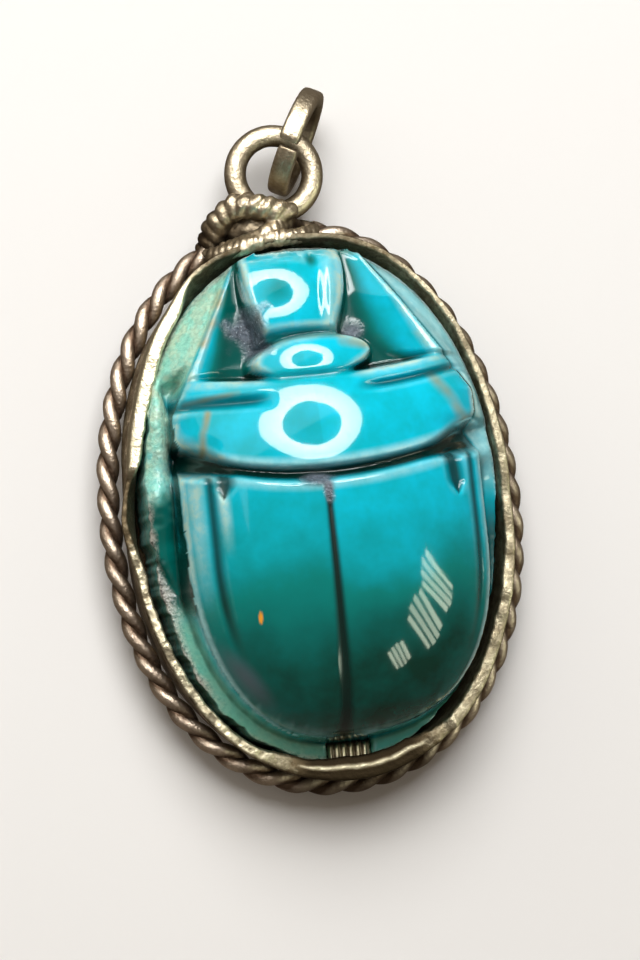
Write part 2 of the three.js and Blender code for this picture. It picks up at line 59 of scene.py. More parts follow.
# Sizes of the setting, in millimetres.
COLLAR_FOOT_HALF_WIDTH = 6.42
COLLAR_FOOT_HALF_LENGTH = 9.17
COLLAR_FOOT_EGG = 0.09
COLLAR_FLARE = 0.38
COLLAR_LEAN = 0.32
COLLAR_HEIGHT = 3.3
COLLAR_WALL = 0.33
COLLAR_RIM_SQUARENESS = 2.2
LEDGE_REACH = 0.8
LEDGE_THICKNESS = 0.4
SETTING_GAP = 0.05
PLINTH_TOP = 2.85
BEETLE_HEIGHT = 4.45
ROPE_LEVEL = 1.6
ROPE_WIRE = 0.42
WIRE_GAP = 0.04
TAB_WIDTH = 1.5
TAB_REACH = 0.75
TAB_THICKNESS = 0.5
TAB_OFFSET = 0.05


class Body(Enum):
    """The bodies that pieces ride on."""

    ROOT = "root"


class Slot(Enum):
    """The names of the material slots."""

    GLAZE = "glaze"
    COLLAR = "collar_silver"
    ROPE = "rope_silver"
    RINGS = "ring_silver"


# Small helpers for numbers.


def smooth(value: np.ndarray, start: float, end: float) -> np.ndarray:
    """Rises smoothly from 0 at start to 1 at end."""
    share = np.clip((value - start) / (end - start), 0.0, 1.0)
    return share * share * (3 - 2 * share)


def vee(offset: np.ndarray, half_width: float) -> np.ndarray:
    """A straight-sided bump, 1 in its middle and 0 from half_width on."""
    return np.maximum(0.0, 1 - np.abs(offset) / half_width)


def swell(offset: np.ndarray, half_width: float) -> np.ndarray:
    """A rounded bump, 1 in its middle and 0 from half_width on."""
    share = vee(offset, half_width)
    return share * share * (3 - 2 * share)


def wedge(across: np.ndarray, ahead: np.ndarray, half_width: float, length: float) -> np.ndarray:
    """A filled notch that opens ahead: 1 on its middle line and 0 at its sides and behind its point."""
    share = np.clip(ahead / length, 0.0, 1.0)
    filled = 1.4 - 1.4 * np.abs(across) / np.maximum(half_width * share, 1e-3)
    return np.where(ahead > 0, np.clip(filled, 0, 1), 0.0)


def mix(a: np.ndarray | float, b: np.ndarray | float, share: np.ndarray | float) -> np.ndarray:
    """Goes from a to b with share."""
    return a + (b - a) * share


def round_trip(knots: list[tuple[float, float]], degrees: np.ndarray) -> np.ndarray:
    """Reads a closed curve of (degrees, value) knots, smoothly.

    Args:
        knots: Values by angle, in rising order within 0 to 360.
        degrees: Where to read them.
    Returns:
        The value at each angle.
    """
    at = np.array([k[0] for k in knots])
    values = np.array([k[1] for k in knots])
    at = np.concatenate([[at[-1] - 360], at, [at[0] + 360]])
    values = np.concatenate([[values[-1]], values, [values[0]]])
    low = np.clip(np.searchsorted(at, degrees, side="right") - 1, 0, len(at) - 2)
    share = (degrees - at[low]) / (at[low + 1] - at[low])
    return mix(values[low], values[low + 1], share * share * (3 - 2 * share))


def zone(degrees: np.ndarray, start: float, end: float, fade: float = 5.0) -> np.ndarray:
    """1 between two angles round the collar and 0 outside, with soft ends."""
    middle = (start + end) / 2
    away = np.abs((degrees - middle + 180) % 360 - 180)
    return 1 - smooth(away, (end - start) / 2 - fade / 2, (end - start) / 2 + fade / 2)


@dataclass(frozen=True)
class Grain:
    """Smooth random bumps of one size, the same on every run."""

    seed: int
    size: float

    def at(self, x: np.ndarray, y: np.ndarray, z: np.ndarray | float = 0.0) -> np.ndarray:
        """The bumps' height, from -1 to 1, at points in millimetres."""
        count = 32
        lattice = np.random.default_rng(self.seed).uniform(-1, 1, (count, count, count))
        place = [np.asarray(v, float) / self.size + 40.5 for v in np.broadcast_arrays(x, y, z)]
        cell = [np.floor(v).astype(int) for v in place]
        share = [v - c for v, c in zip(place, cell)]
        share = [s * s * (3 - 2 * s) for s in share]
        total = 0.0
        for i in (0, 1):
            for j in (0, 1):
                for k in (0, 1):
                    weight = ((share[0] if i else 1 - share[0]) * (share[1] if j else 1 - share[1])
                              * (share[2] if k else 1 - share[2]))
                    corner = lattice[(cell[0] + i) % count, (cell[1] + j) % count, (cell[2] + k) % count]
                    total = total + weight * corner
        return total


def distance_to_path(x: np.ndarray, y: np.ndarray, path: list[tuple[float, float]]) -> np.ndarray:
    """How far points lie from a line through given places, seen from above."""
    nearest = np.full(np.shape(x), np.inf)
    for (ax, ay), (bx, by) in zip(path, path[1:]):
        dx, dy = bx - ax, by - ay
        along = np.clip(((x - ax) * dx + (y - ay) * dy) / (dx * dx + dy * dy), 0, 1)
        nearest = np.minimum(nearest, np.hypot(x - ax - along * dx, y - ay - along * dy))
    return nearest


# The collar's ovals, which carry everything.


@dataclass(frozen=True)
class Oval:
    """A rounded outline, egg-shaped or squarish, about a middle that may lie off the centre line."""

    middle: float
    half_width: float
    half_length: float
    squareness: float
    egg: float

    def point(self, angle: np.ndarray, reach: np.ndarray | float = 1.0) -> tuple[np.ndarray, np.ndarray]:
        """The place at an angle, a share of the way out from the middle."""
        power = 2 / self.squareness
        across = np.sign(np.cos(angle)) * np.abs(np.cos(angle)) ** power
        along = np.sign(np.sin(angle)) * np.abs(np.sin(angle)) ** power
        x = self.middle + self.half_width * across * (1 - self.egg * along) * reach
        return x, self.half_length * along * reach

    def share_at(self, x: np.ndarray, y: np.ndarray) -> np.ndarray:
        """How far out a place lies: 0 in the middle and 1 on the outline."""
        egg = 1 - self.egg * np.clip(y / self.half_length, -1, 1)
        across = np.abs((x - self.middle) / (self.half_width * egg)) ** self.squareness
        return (across + np.abs(y / self.half_length) ** self.squareness) ** (1 / self.squareness)

    def degrees_at(self, x: np.ndarray, y: np.ndarray) -> np.ndarray:
        """The angle of a place round the oval, from +X towards the head, 0 to 360."""
        return np.degrees(np.arctan2(y / self.half_length, (x - self.middle) / self.half_width)) % 360


def collar_oval(level: float, inset: float = 0.0) -> Oval:
    """The outside of the collar at a level, drawn in by an inset."""
    share = level / COLLAR_HEIGHT
    return Oval(
        middle=COLLAR_LEAN * share,
        half_width=COLLAR_FOOT_HALF_WIDTH + COLLAR_FLARE * share - inset,
        half_length=COLLAR_FOOT_HALF_LENGTH + COLLAR_FLARE * share - inset,
        squareness=mix(2.0, COLLAR_RIM_SQUARENESS, share),
        egg=COLLAR_FOOT_EGG * min(max(1 - share, 0.0), 1.0),
    )


def plinth_oval(level: float, inset: float = 0.0) -> Oval:
    """The outline of the stone's plinth at a level."""
    return collar_oval(level, COLLAR_WALL + SETTING_GAP + inset)


def setting_origin() -> np.ndarray:
    """Where the setting's own origin lies in the frame of the solids, in metres, from the collar's box."""
    low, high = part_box("bezel")
    return np.array([(low.x + high.x) / 2 - COLLAR_LEAN * MM, (low.y + high.y) / 2, low.z])


ORIGIN = setting_origin()


def node_middle(node: str) -> np.ndarray:
    """The middle of a solid's box in the setting's frame, in millimetres."""
    low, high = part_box(node)
    return (np.array((low + high) / 2) - ORIGIN) / MM


# Meshes, nodes and materials.


def grid_faces(rows: int, columns: int, first: int = 0, close_rows: bool = False,
               close_columns: bool = False) -> list[tuple[int, ...]]:
    """Quads between the points of a grid that is numbered row by row."""
    faces = []
    for i in range(rows if close_rows else rows - 1):
        for j in range(columns if close_columns else columns - 1):
            below, right = (i + 1) % rows, (j + 1) % columns
            faces.append((first + i * columns + j, first + i * columns + right,
                          first + below * columns + right, first + below * columns + j))
    return faces


def outward(mesh: bpy.types.Mesh) -> None:
    """Turns a closed mesh's faces to point out."""
    work = bmesh.new()
    work.from_mesh(mesh)
    bmesh.ops.recalc_face_normals(work, faces=work.faces)
    work.to_mesh(mesh)
    work.free()


def write_marks(mesh: bpy.types.Mesh, marks: dict[str, np.ndarray]) -> None:
    """Keeps values from 0 to 1 at a mesh's points, for a material to read by name."""
    for name, values in marks.items():
        attribute = mesh.attributes.new(name, "FLOAT", "POINT")
        attribute.data.foreach_set("value", np.clip(values, 0, 1).astype(np.float32))


def make_object(name: str, points: np.ndarray, faces: list[tuple[int, ...]], finish: bpy.types.Material,
                marks: dict[str, np.ndarray] | None = None) -> bpy.types.Object:
    """Makes a smooth closed piece from points in the setting's frame.

    Args:
        name: The piece's name.
        points: Its points, in millimetres.
        faces: Its faces, as numbers of points.
        finish: Its material.
        marks: Values from 0 to 1 at each point, which the material reads by name.
    Returns:
        The object, at the origin, with its place in its mesh.
    """
    mesh = bpy.data.meshes.new(name)
    mesh.from_pydata((points * MM + ORIGIN).tolist(), [], faces)
    write_marks(mesh, marks or {})
    outward(mesh)
    mesh.shade_smooth()
    mesh.materials.append(finish)
    made = bpy.data.objects.new(name, mesh)
    bpy.context.scene.collection.objects.link(made)
    return made


def points_of(mesh: bpy.types.Mesh) -> np.ndarray:
    """A mesh's points in the setting's frame, in millimetres."""
    flat = np.empty(len(mesh.vertices) * 3)
    mesh.vertices.foreach_get("co", flat)
    return (flat.reshape(-1, 3) - ORIGIN) / MM


def linear(colour: str) -> tuple[float, float, float, float]:
    """Turns an sRGB hex colour into the linear values that shaders use."""
    channels = [int(colour[i:i + 2], 16) / 255 for i in (1, 3, 5)]
    red, green, blue = (c / 12.92 if c <= 0.04045 else ((c + 0.055) / 1.055) ** 2.4 for c in channels)
    return red, green, blue, 1.0


def add_node(tree: bpy.types.NodeTree, kind: str, inputs: dict[str | int, object] | None = None,
             **settings: object) -> bpy.types.Node:
    """Adds a node with its settings, input values and links.

    Args:
        tree: The tree that gets the node.
        kind: The node's type.
        inputs: A value, or a socket to link, for each input by name or number.
        settings: The node's properties.
    Returns:
        The new node.
    """
    node = tree.nodes.new(kind)
    for name, value in settings.items():
        setattr(node, name, value)
    for key, value in (inputs or {}).items():
        if isinstance(value, bpy.types.NodeSocket):
            tree.links.new(value, node.inputs[key])
        else:
            node.inputs[key].default_value = value
    return node


class Surface:
    """A material being built: its tree, with the sums and blends that all finishes share."""

    def __init__(self, name: str) -> None:
        """Starts an empty material with a shader and coordinates in millimetres."""
        self.material = bpy.data.materials.new(name)
        self.material.use_nodes = True
        self.tree = self.material.node_tree
        self.tree.nodes.clear()
        self.shader = add_node(self.tree, "ShaderNodeBsdfPrincipled")
        add_node(self.tree, "ShaderNodeOutputMaterial", {"Surface": self.shader.outputs[0]})
        place = add_node(self.tree, "ShaderNodeTexCoord")
        scale = add_node(self.tree, "ShaderNodeMapping", {"Vector": place.outputs["Object"]})
        scale.inputs["Scale"].default_value = (1 / MM, 1 / MM, 1 / MM)
        self.place = scale.outputs[0]

    def mark(self, name: str) -> bpy.types.NodeSocket:
        """A value that the mesh carries at its points."""
        return add_node(self.tree, "ShaderNodeAttribute", attribute_name=name).outputs["Fac"]

    def speckle(self, size: float, low: float, high: float, detail: float = 3.0) -> bpy.types.NodeSocket:
        """Cloudy patches, about size millimetres across, as a value that goes from 0 at low to 1 at high."""
        noise = add_node(self.tree, "ShaderNodeTexNoise",
                         {"Vector": self.place, "Scale": 1 / size, "Detail": detail, "Roughness": 0.6})
        return self.remap(noise.outputs[0], low, high)

    def remap(self, value: bpy.types.NodeSocket, low: float, high: float, to_low: float = 0.0,
              to_high: float = 1.0) -> bpy.types.NodeSocket:
        """Moves a value from one range to another, and keeps it inside."""
        return add_node(self.tree, "ShaderNodeMapRange",
                        {0: value, 1: low, 2: high, 3: to_low, 4: to_high}).outputs[0]

    def combine(self, operation: str, a: object, b: object) -> bpy.types.NodeSocket:
        """One sum of two values, such as MULTIPLY or MAXIMUM."""
        node = add_node(self.tree, "ShaderNodeMath", {0: a, 1: b}, operation=operation, use_clamp=True)
        return node.outputs[0]

    def blend(self, share: object, a: object, b: object) -> bpy.types.NodeSocket:
        """A colour between two, each a hex colour or a socket."""
        node = add_node(self.tree, "ShaderNodeMix", {0: share}, data_type="RGBA")
        for socket, value in ((6, a), (7, b)):
            if isinstance(value, bpy.types.NodeSocket):
                self.tree.links.new(value, node.inputs[socket])
            else:
                node.inputs[socket].default_value = linear(value)
        return node.outputs[2]

    def weigh(self, share: object, a: object, b: object) -> bpy.types.NodeSocket:
        """A plain value between two."""
        return add_node(self.tree, "ShaderNodeMix", {0: share, 2: a, 3: b}, data_type="FLOAT").outputs[0]

    def finish(self, colour: bpy.types.NodeSocket, roughness: bpy.types.NodeSocket,
               height: bpy.types.NodeSocket, depth: float) -> bpy.types.Material:
        """Links colour, roughness and a fine relief to the shader.

        Args:
            colour: The base colour.
            roughness: The roughness.
            height: The relief, from 0 to 1.
            depth: What 1 of the relief measures, in millimetres.
        Returns:
            The finished material.
        """
        bump = add_node(self.tree, "ShaderNodeBump",
                        {"Strength": 1.0, "Distance": depth * MM, "Height": height})
        self.tree.links.new(colour, self.shader.inputs["Base Color"])
        self.tree.links.new(roughness, self.shader.inputs["Roughness"])
        self.tree.links.new(bump.outputs[0], self.shader.inputs["Normal"])
        return self.material


@dataclass(frozen=True)
class CopperGlaze:
    """Alkaline copper glaze on fired stone paste: turquoise, pale where it runs thinner, dark where it
    gathered and, as painted shade, darker towards the tail; with a painted highlight along the outline and a
    painted sheen.
    """

    body: str = "#00cdea"
    body_deep: str = "#00b9cb"
    # The two dark teals below stand for glaze that gathered in the carving and also for painted shade that
    # darkens the back towards the tail.
    half_pooled_and_shaded: str = "#007f78"
    pooled_and_shaded: str = "#00382c"
    # The colour in the cuts, which outside the beetle also paints shade on the right flank.
    in_cuts_and_shade: str = "#00231d"
    # Pale edges: glaze that runs thinner there, and also a painted highlight along the beetle's outline.
    thin_glaze_and_highlight: str = "#b4ecf1"
    cream: str = "#dfe3c0"
    ochre: str = "#a98f45"
    mint: str = "#6cc4ab"
    bare: str = "#a2e6d0"
    bare_dark: str = "#2b7d68"
    chipped: str = "#cfc8bd"
    chipped_dark: str = "#5a4f48"
    # A painted sheen: a grey-blue reflection painted onto the dark glaze.
    painted_sheen_tone: str = "#55606a"
    grit: str = "#6f7a88"
    grit_dark: str = "#39414d"
    glint: str = "#b4c4d0"
    fleck: str = "#f0a030"
    mottle: float = 1.3
    speck: float = 0.16

    def material(self) -> bpy.types.Material:
        """Glossy glaze that turns matt where the paste is bare or earth sits in the carving."""
        surface = Surface("turquoise_copper_glaze")
        cloud = surface.speckle(self.mottle, 0.35, 0.65)
        fine = surface.speckle(self.speck, 0.45, 0.62)
        patch = surface.speckle(0.5, 0.42, 0.6)
        bare = surface.mark("bare")
        chip = surface.mark("chip")
        earth = surface.mark("earth")
        colour = surface.blend(cloud, self.body, self.body_deep)
        # Darker where the glaze gathered and, as painted shade, towards the tail.
        pooled_and_shaded = surface.combine("MULTIPLY", surface.mark("pool_and_shade"), surface.remap(cloud, 0, 1, 0.9, 1.0))
        colour = surface.blend(surface.remap(pooled_and_shaded, 0.0, 0.5), colour, self.half_pooled_and_shaded)
        colour = surface.blend(surface.remap(pooled_and_shaded, 0.5, 1.0), colour, self.pooled_and_shaded)
        colour = surface.blend(surface.mark("mint"), colour, self.mint)
        thin_glaze_and_highlight = surface.blend(surface.combine("MULTIPLY", surface.mark("creamy"), surface.remap(
            patch, 0, 1, 0.25, 0.8)), self.thin_glaze_and_highlight, self.cream)
        # Pale edges, partly thinner glaze and partly a painted highlight along the outline.
        colour = surface.blend(surface.combine("MULTIPLY", surface.mark("lip"), surface.remap(
            patch, 0, 1, 0.7, 1.0)), colour, thin_glaze_and_highlight)
        worn = surface.blend(surface.combine("MULTIPLY", patch, 0.55), self.bare, self.cream)
        worn = surface.blend(surface.combine("MULTIPLY", fine, 0.3), worn, self.bare_dark)
        colour = surface.blend(bare, colour, worn)
        colour = surface.blend(surface.mark("ochre"), colour, self.ochre)
        # Painted sheen on the left of the tail.
        colour = surface.blend(surface.mark("sheen"), colour, self.painted_sheen_tone)
        # Dark glaze in the cuts, with painted shade on the right flank beside the rear half.
        colour = surface.blend(surface.mark("cut"), colour, self.in_cuts_and_shade)
        colour = surface.blend(chip, colour, surface.blend(fine, self.chipped, self.chipped_dark))
        soil = surface.blend(surface.speckle(0.3, 0.3, 0.7), self.grit, self.grit_dark)
        soil = surface.blend(surface.speckle(0.1, 0.62, 0.7), soil, self.glint)
        colour = surface.blend(earth, colour, soil)
        colour = surface.blend(surface.mark("fleck"), colour, self.fleck)
        rough = surface.combine("MAXIMUM", surface.combine("MULTIPLY", bare, 0.6), chip)
        matt = surface.combine("MAXIMUM", rough, earth)
        roughness = surface.weigh(matt, surface.weigh(surface.mark("cut"), 0.06, 0.22), 0.55)
        relief = surface.combine("MULTIPLY", matt, surface.speckle(self.speck, 0.3, 0.7))
        material = surface.finish(colour, roughness, relief, 0.05)
        surface.shader.inputs["IOR"].default_value = 1.5
        return material


@dataclass(frozen=True)
class OldSilver:
    """Low silver, worked by hand and worn: bright where it rubs, brown and nearly black where it doesn't."""

    name: str
    bright: str
    tarnish: str
    soot_and_shade: str
    polish: float = 0.3
    dull: float = 0.5
    pit: float = 0.14
    pit_depth: float = 0.009

    def material(self) -> bpy.types.Material:
        """Metal whose tarnish follows the mesh's marks for wear and dark staining; on the rings these marks
        also carry a painted highlight and painted shade.
        """
        surface = Surface(self.name)
        surface.shader.inputs["Metallic"].default_value = 1.0
        cloud = surface.speckle(0.55, 0.35, 0.65)
        fine = surface.speckle(self.pit, 0.38, 0.62)
        worn = surface.mark("worn")
        soot_and_shade = surface.mark("soot_and_shade")
        rubbed = surface.combine("SUBTRACT", worn, surface.combine("MULTIPLY", cloud, 0.35))
        colour = surface.blend(rubbed, self.tarnish, self.bright)
        stained = surface.combine("MAXIMUM", soot_and_shade, surface.combine("MULTIPLY", fine, surface.remap(
            worn, 0.0, 1.0, 0.45, 0.12)))
        colour = surface.blend(stained, colour, self.soot_and_shade)
        roughness = surface.weigh(stained, surface.weigh(rubbed, self.dull, self.polish), 0.7)
        return surface.finish(colour, roughness, surface.combine("SUBTRACT", 1.0, fine), self.pit_depth)


# The stone.


class Station:
    """Places along the back, as shares of the plinth's half length, from tail to head."""

    TAIL = -0.912
    WIDEST = -0.18
    CROWN = -0.1
    WING_FRONT = 0.056
    WAIST = 0.09
    SLIT = 0.378
    SHIELD_FRONT = 0.465
    CRESCENT_FRONT = 0.612
    HEAD_BACK = 0.66
    HEAD_FRONT = 0.975


@dataclass(frozen=True)
class Form:
    """A rounded form at the head: its height at its middle and how it bends away, in millimetres."""

    level: float
    x: float
    y: float
    cross_bend: float
    length_bend: float
    slope: float = 0.268

    def along(self, y: np.ndarray) -> np.ndarray:
        """Its height on its middle line."""
        return self.level - self.slope * (y - self.y) - (y - self.y) ** 2 / (2 * self.length_bend)

    def height(self, x: np.ndarray, y: np.ndarray) -> np.ndarray:
        """Its height at a place."""
        return self.along(y) - (x - self.x) ** 2 / (2 * self.cross_bend)


@dataclass(frozen=True)
class Carving:
    """The beetle's forms above the plinth, in millimetres, and its outline on the plinth."""

    half_width_left: float = 0.745
    half_width_right: float = 0.91
    seam_at: float = -0.05
    head_shift: float = -0.05
    plate_edge: float = 0.34
    plate_edge_front: float = 0.86
    margin_left: float = 0.8
    margin_right: float = 0.9
    edge_height: float = 0.24
    shield: Form = Form(level=4.12, x=0.3, y=2.58, cross_bend=7.6, length_bend=6.4)
    crescent: Form = Form(level=3.42, x=0.2, y=4.86, cross_bend=4.3, length_bend=2.4)
    plate: Form = Form(level=2.8, x=-0.59, y=7.41, cross_bend=5.9, length_bend=4.2)
    suture_depth: float = 0.05
    margin_depth: float = 0.2
    waist_depth: float = 0.5
    corner_depth: float = 0.75
    slit_depth: float = 0.34
    oval: Oval = field(default_factory=lambda: plinth_oval(PLINTH_TOP))

    @property
    def seam_x(self) -> float:
        """Where the seam of the wing cases runs."""
        return self.oval.middle + self.seam_at * self.oval.half_width

    @staticmethod
    def ahead_of_shield(along: np.ndarray) -> np.ndarray:
        """0 on the shield and behind it, and 1 on what stands before it."""
        return smooth(along, Station.SHIELD_FRONT - 0.003, Station.SHIELD_FRONT + 0.019)

    def sweep(self, along: np.ndarray, right: np.ndarray) -> np.ndarray:
        """How far the ends of a cross line lie ahead of its middle, in half lengths."""
        at = [Station.TAIL, Station.WAIST, Station.SLIT, Station.SHIELD_FRONT, Station.CRESCENT_FRONT,
              Station.HEAD_FRONT]
        ahead_left = np.interp(along, at, [0, 0.12, 0.015, 0.035, -0.085, -0.04])
        ahead_right = np.interp(along, at, [0, 0.11, 0.07, 0.055, -0.08, -0.04])
        return np.where(right, ahead_right, ahead_left)

    def half_width(self, lengthwise: np.ndarray, right: np.ndarray) -> np.ndarray:
        """The outline's distance from the seam, as a share of the plinth's half width."""
        full = np.where(right, self.half_width_right, self.half_width_left)
        roundness = np.where(right, 2.4, 2.1)
        to_tail = np.clip((Station.WIDEST - lengthwise) / (Station.WIDEST - Station.TAIL), 0, 0.995)
        tail = (1 - to_tail ** roundness) ** (1 / roundness)
        head = 1 - 0.62 * np.clip((lengthwise - 0.37) / (Station.HEAD_FRONT - 0.37), 0, 1)
        return full * tail * head * (1 - 0.05 * swell(lengthwise - 0.22, 0.07))

    def stations(self, x: np.ndarray, y: np.ndarray) -> tuple[np.ndarray, np.ndarray]:
        """Where plan points lie on the beetle.

        Args:
            x: Places across the setting, in millimetres.
            y: Places along it.
        Returns:
            The share of the way out from the seam, negative to the left and past 1 beyond the outline, and
            the station along the back.
        """
        sideways = (x - self.seam_x) / self.oval.half_width
        lengthwise = y / self.oval.half_length
        across, along = sideways * 1.1, lengthwise.copy()
        for _ in range(12):
            bow = np.minimum(across * across, 1)
            shift = self.head_shift * smooth(along, Station.SLIT, Station.HEAD_BACK) * (1 - bow)
            right = sideways > shift
            fanned = (sideways - shift) / np.maximum(self.half_width(lengthwise, right), 1e-3)
            edge = mix(self.plate_edge, self.plate_edge_front,
                       np.clip((along - Station.HEAD_BACK) / (Station.HEAD_FRONT - Station.HEAD_BACK), 0,
                               1))
            size = np.abs(fanned)
            size = np.where(size < edge, size / edge * self.plate_edge,
                            self.plate_edge + (size - edge) / (1 - edge) * (1 - self.plate_edge))
            across = np.sign(fanned) * size
            along = lengthwise - self.sweep(along, across > 0) * np.minimum(across * across, 1)
        return across, along

    def carve(self, x: np.ndarray, y: np.ndarray, across: np.ndarray,
              along: np.ndarray) -> tuple[np.ndarray, np.ndarray, np.ndarray]:
        """Shapes the back: the dome, what is carved into it and what stands in front of the shield.

        Args:
            x: Places across the setting, in millimetres.
            y: Places along it.
            across: Their share of the way out from the seam.
            along: Their station.
        Returns:
            The height above the plinth, how deep in a groove each place lies, and how near it lies to a pale
            edge (thinner glaze, and a painted highlight along the outline), both from 0 to 1.
        """
        size = 0.98 * np.minimum(np.abs(across), 1)
        left = across < 0
        reach = np.where(along < Station.CROWN, Station.CROWN - Station.TAIL + 0.004, 1.13)
        lengthwise = (1 - np.clip(np.abs(along - Station.CROWN) / reach, 0, 1) ** 2.4) ** (1 / 2.4)
        shield = self.shield.along(along * self.oval.half_length)
        edge = self.edge_height * BEETLE_HEIGHT
        lengthwise = np.where(along > Station.WAIST, (shield - edge) / (BEETLE_HEIGHT - edge), lengthwise)
        crosswise = (1 - size ** 2.15) ** (1 / 2.1)
        hump = 1 - (x - self.shield.x) ** 2 / (2 * self.shield.cross_bend * (shield - edge))
        shield_cross = mix(hump, (1 - size ** 2.0) ** (1 / 2.1), smooth(size, 0.5, 0.9))
        crosswise = np.where(along > Station.WAIST, shield_cross, crosswise)
        dome = BEETLE_HEIGHT * (self.edge_height * np.minimum(1, lengthwise * 1.6)
                                + (1 - self.edge_height) * lengthwise * crosswise)
        wings = 1 - smooth(along, Station.WING_FRONT - 0.02, Station.WING_FRONT + 0.01)
        seam_width = mix(0.17, 0.36, np.clip((Station.WING_FRONT - along) / 0.95, 0, 1))
        suture = wings * (1 - smooth(np.abs(x - self.seam_x), 0.2 * seam_width, seam_width))
        margin_at = np.where(left, self.margin_left, self.margin_right)
        margin_width = np.where(left, 0.055, 0.04)
        margin_end = np.where(left, smooth(along, -0.66, -0.4), smooth(along, -0.7, -0.35))
        margin = wings * margin_end * swell(size - margin_at, margin_width)
        nick = np.maximum(wedge(x - (-3.5) - 0.12 * (y - 0.25), y - 0.25, 0.42, 0.45),
                          wedge(x - 4.66 + 0.1 * (y + 0.32), y + 0.32, 0.42, 0.45))
        nick *= 1 - smooth(along, Station.WING_FRONT, Station.WAIST)
        waist_width = 0.033 + 0.045 * smooth(size, 0.55, 1.0)
        waist = 1 - smooth(np.abs(along - Station.WAIST), waist_width * 0.35, waist_width)
        slit_left = smooth(size, 0.26, 0.44) * swell(along - 0.385, 0.036) * left
        slit_right = smooth(size, 0.22, 0.45) * swell(along - 0.396, 0.026) * ~left
        slit = np.maximum(slit_left, slit_right)
        furrow = swell(along - 0.468, 0.022) * (1 - smooth(size, 0.45, 0.7))
        body = (dome - 0.16 * furrow - self.suture_depth * suture - self.margin_depth * margin - 0.3 * nick
                - (self.waist_depth + self.corner_depth * smooth(size, 0.6, 1)) * waist
                - self.slit_depth * slit)
        front, front_cut, front_lip = self.front(x, y, across, along)
        ahead = self.ahead_of_shield(along)
        cut = np.max([suture, 0.85 * margin, 0.9 * nick, waist, 0.8 * slit, 0.5 * furrow], axis=0)
        rims = [
            0.75 * swell(along - 0.128, 0.035) * (along > 0.1),
            0.5 * swell(along - 0.045, 0.03) * (along < 0.06),
            0.45 * swell(along - 0.45, 0.025) * smooth(size, 0.3, 0.5),
            # A painted highlight along the beetle's outline behind the head, on its convex rim.
            0.8 * smooth(size, 0.935, 0.97) * (along < 0.3),
            0.75 * np.where(left, swell(size - 0.72, 0.06) * smooth(along, -0.25, -0.02), 0) * wings,
            0.65 * np.where(left, swell(size - 0.9, 0.08) * smooth(along, -0.5, -0.02), 0) * wings,
        ]
        lip = np.max(rims, axis=0)
        height = np.maximum(mix(body, front, ahead), 0.3)
        return height, mix(cut, front_cut, ahead), mix(lip, front_lip, ahead)

    def front(self, x: np.ndarray, y: np.ndarray, across: np.ndarray,
              along: np.ndarray) -> tuple[np.ndarray, np.ndarray, np.ndarray]:
        """Shapes what stands ahead of the shield: the crescent, the head plate and the cheeks beside it.

        Args:
            x: Places across the setting, in millimetres.
            y: Places along it.
            across: Their share of the way out from the seam.
            along: Their station.
        Returns:
            The same three values as carve.
        """
        size = np.minimum(np.abs(across), 1)
        left = across < 0
        at = [0.46, 0.55, 0.8, 0.97]
        crest = np.where(left, np.interp(along, at, [1.7, 1.9, 1.6, 1.1]),
                         np.interp(along, at, [1.75, 2.1, 1.9, 1.3]))
        floor = np.interp(along, at, [1.35, 1.35, 1.3, 1.1])
        right_foot = np.interp(along, [0.485, 0.56, 0.655, 0.78, 0.97], [0.72, 0.6, 0.55, 0.44, 0.4])
        foot = np.where(left, 0.47, right_foot)
        rise = np.clip((size - foot) / (0.94 - foot), 0, 1)
        level = mix(floor, crest, rise ** 1.5)
        cut = np.where(left, 1 - smooth(rise, 0.45, 0.98), (1 - smooth(rise, 0.0, 0.8)) ** 1.3)
        lip = 0.6 * smooth(size, 0.88, 0.97)
        lens = 1 - ((x - 0.15) / 2.3) ** 2 - ((y - 4.92 - 0.05 * x) / 0.86) ** 2
        on_crescent = smooth(lens, 0.0, 0.28)
        level = mix(level, self.crescent.height(x, y), on_crescent)
        cut = mix(cut, 0.0, on_crescent)
        lip = mix(lip, 0.7 * swell(lens - 0.2, 0.2) * (y > 4.9), on_crescent)
        ridge_x = 1.0 + 0.1 * (y - 6.7)
        ridge = swell(x - ridge_x, 0.45)
        dent = swell(np.hypot((x - 0.55) / 0.3, (y - 8.35) / 0.42), 1.0)
        plate = self.plate.height(x, y) + 0.16 * ridge - 0.18 * dent - 0.8 * smooth(y, 8.1, 8.9) ** 2
        on_plate = smooth(along, 0.632, Station.HEAD_BACK) * (1 - smooth(size, self.plate_edge - 0.03,
                                                            self.plate_edge + 0.06))
        behind = smooth(along, 0.6, 0.62) * (1 - smooth(size, self.plate_edge - 0.02,
                                                        self.plate_edge + 0.08))
        level = np.maximum(level, mix(level, plate - 0.45, behind))
        cut = mix(cut, 0.55, behind)
        level = mix(level, plate, on_plate)
        cut = mix(cut, 0.7 * dent, on_plate)
        edge = swell(size - self.plate_edge + 0.02, 0.05) + 0.6 * ridge + swell(along - 0.667, 0.02) * 0.5
        lip = mix(lip, np.minimum(edge, 1) * 0.75, on_plate)
        return level, cut, lip

    def outline(self) -> list[tuple[float, float]]:
        """The beetle's outline on the plinth, from the left of the head round the tail to the right."""
        places = []
        stations = np.linspace(Station.HEAD_FRONT, Station.TAIL, 90)
        for side, order in ((-1, stations), (1, stations[::-1])):
            for along in order:
                lengthwise = along + float(self.sweep(np.array(along), np.array(side > 0)))
                reach = float(self.half_width(np.array(lengthwise), np.array(side > 0)))
                x = self.oval.middle + (self.seam_at + side * reach) * self.oval.half_width
                places.append((x, lengthwise * self.oval.half_length))
        return places + places[:1]


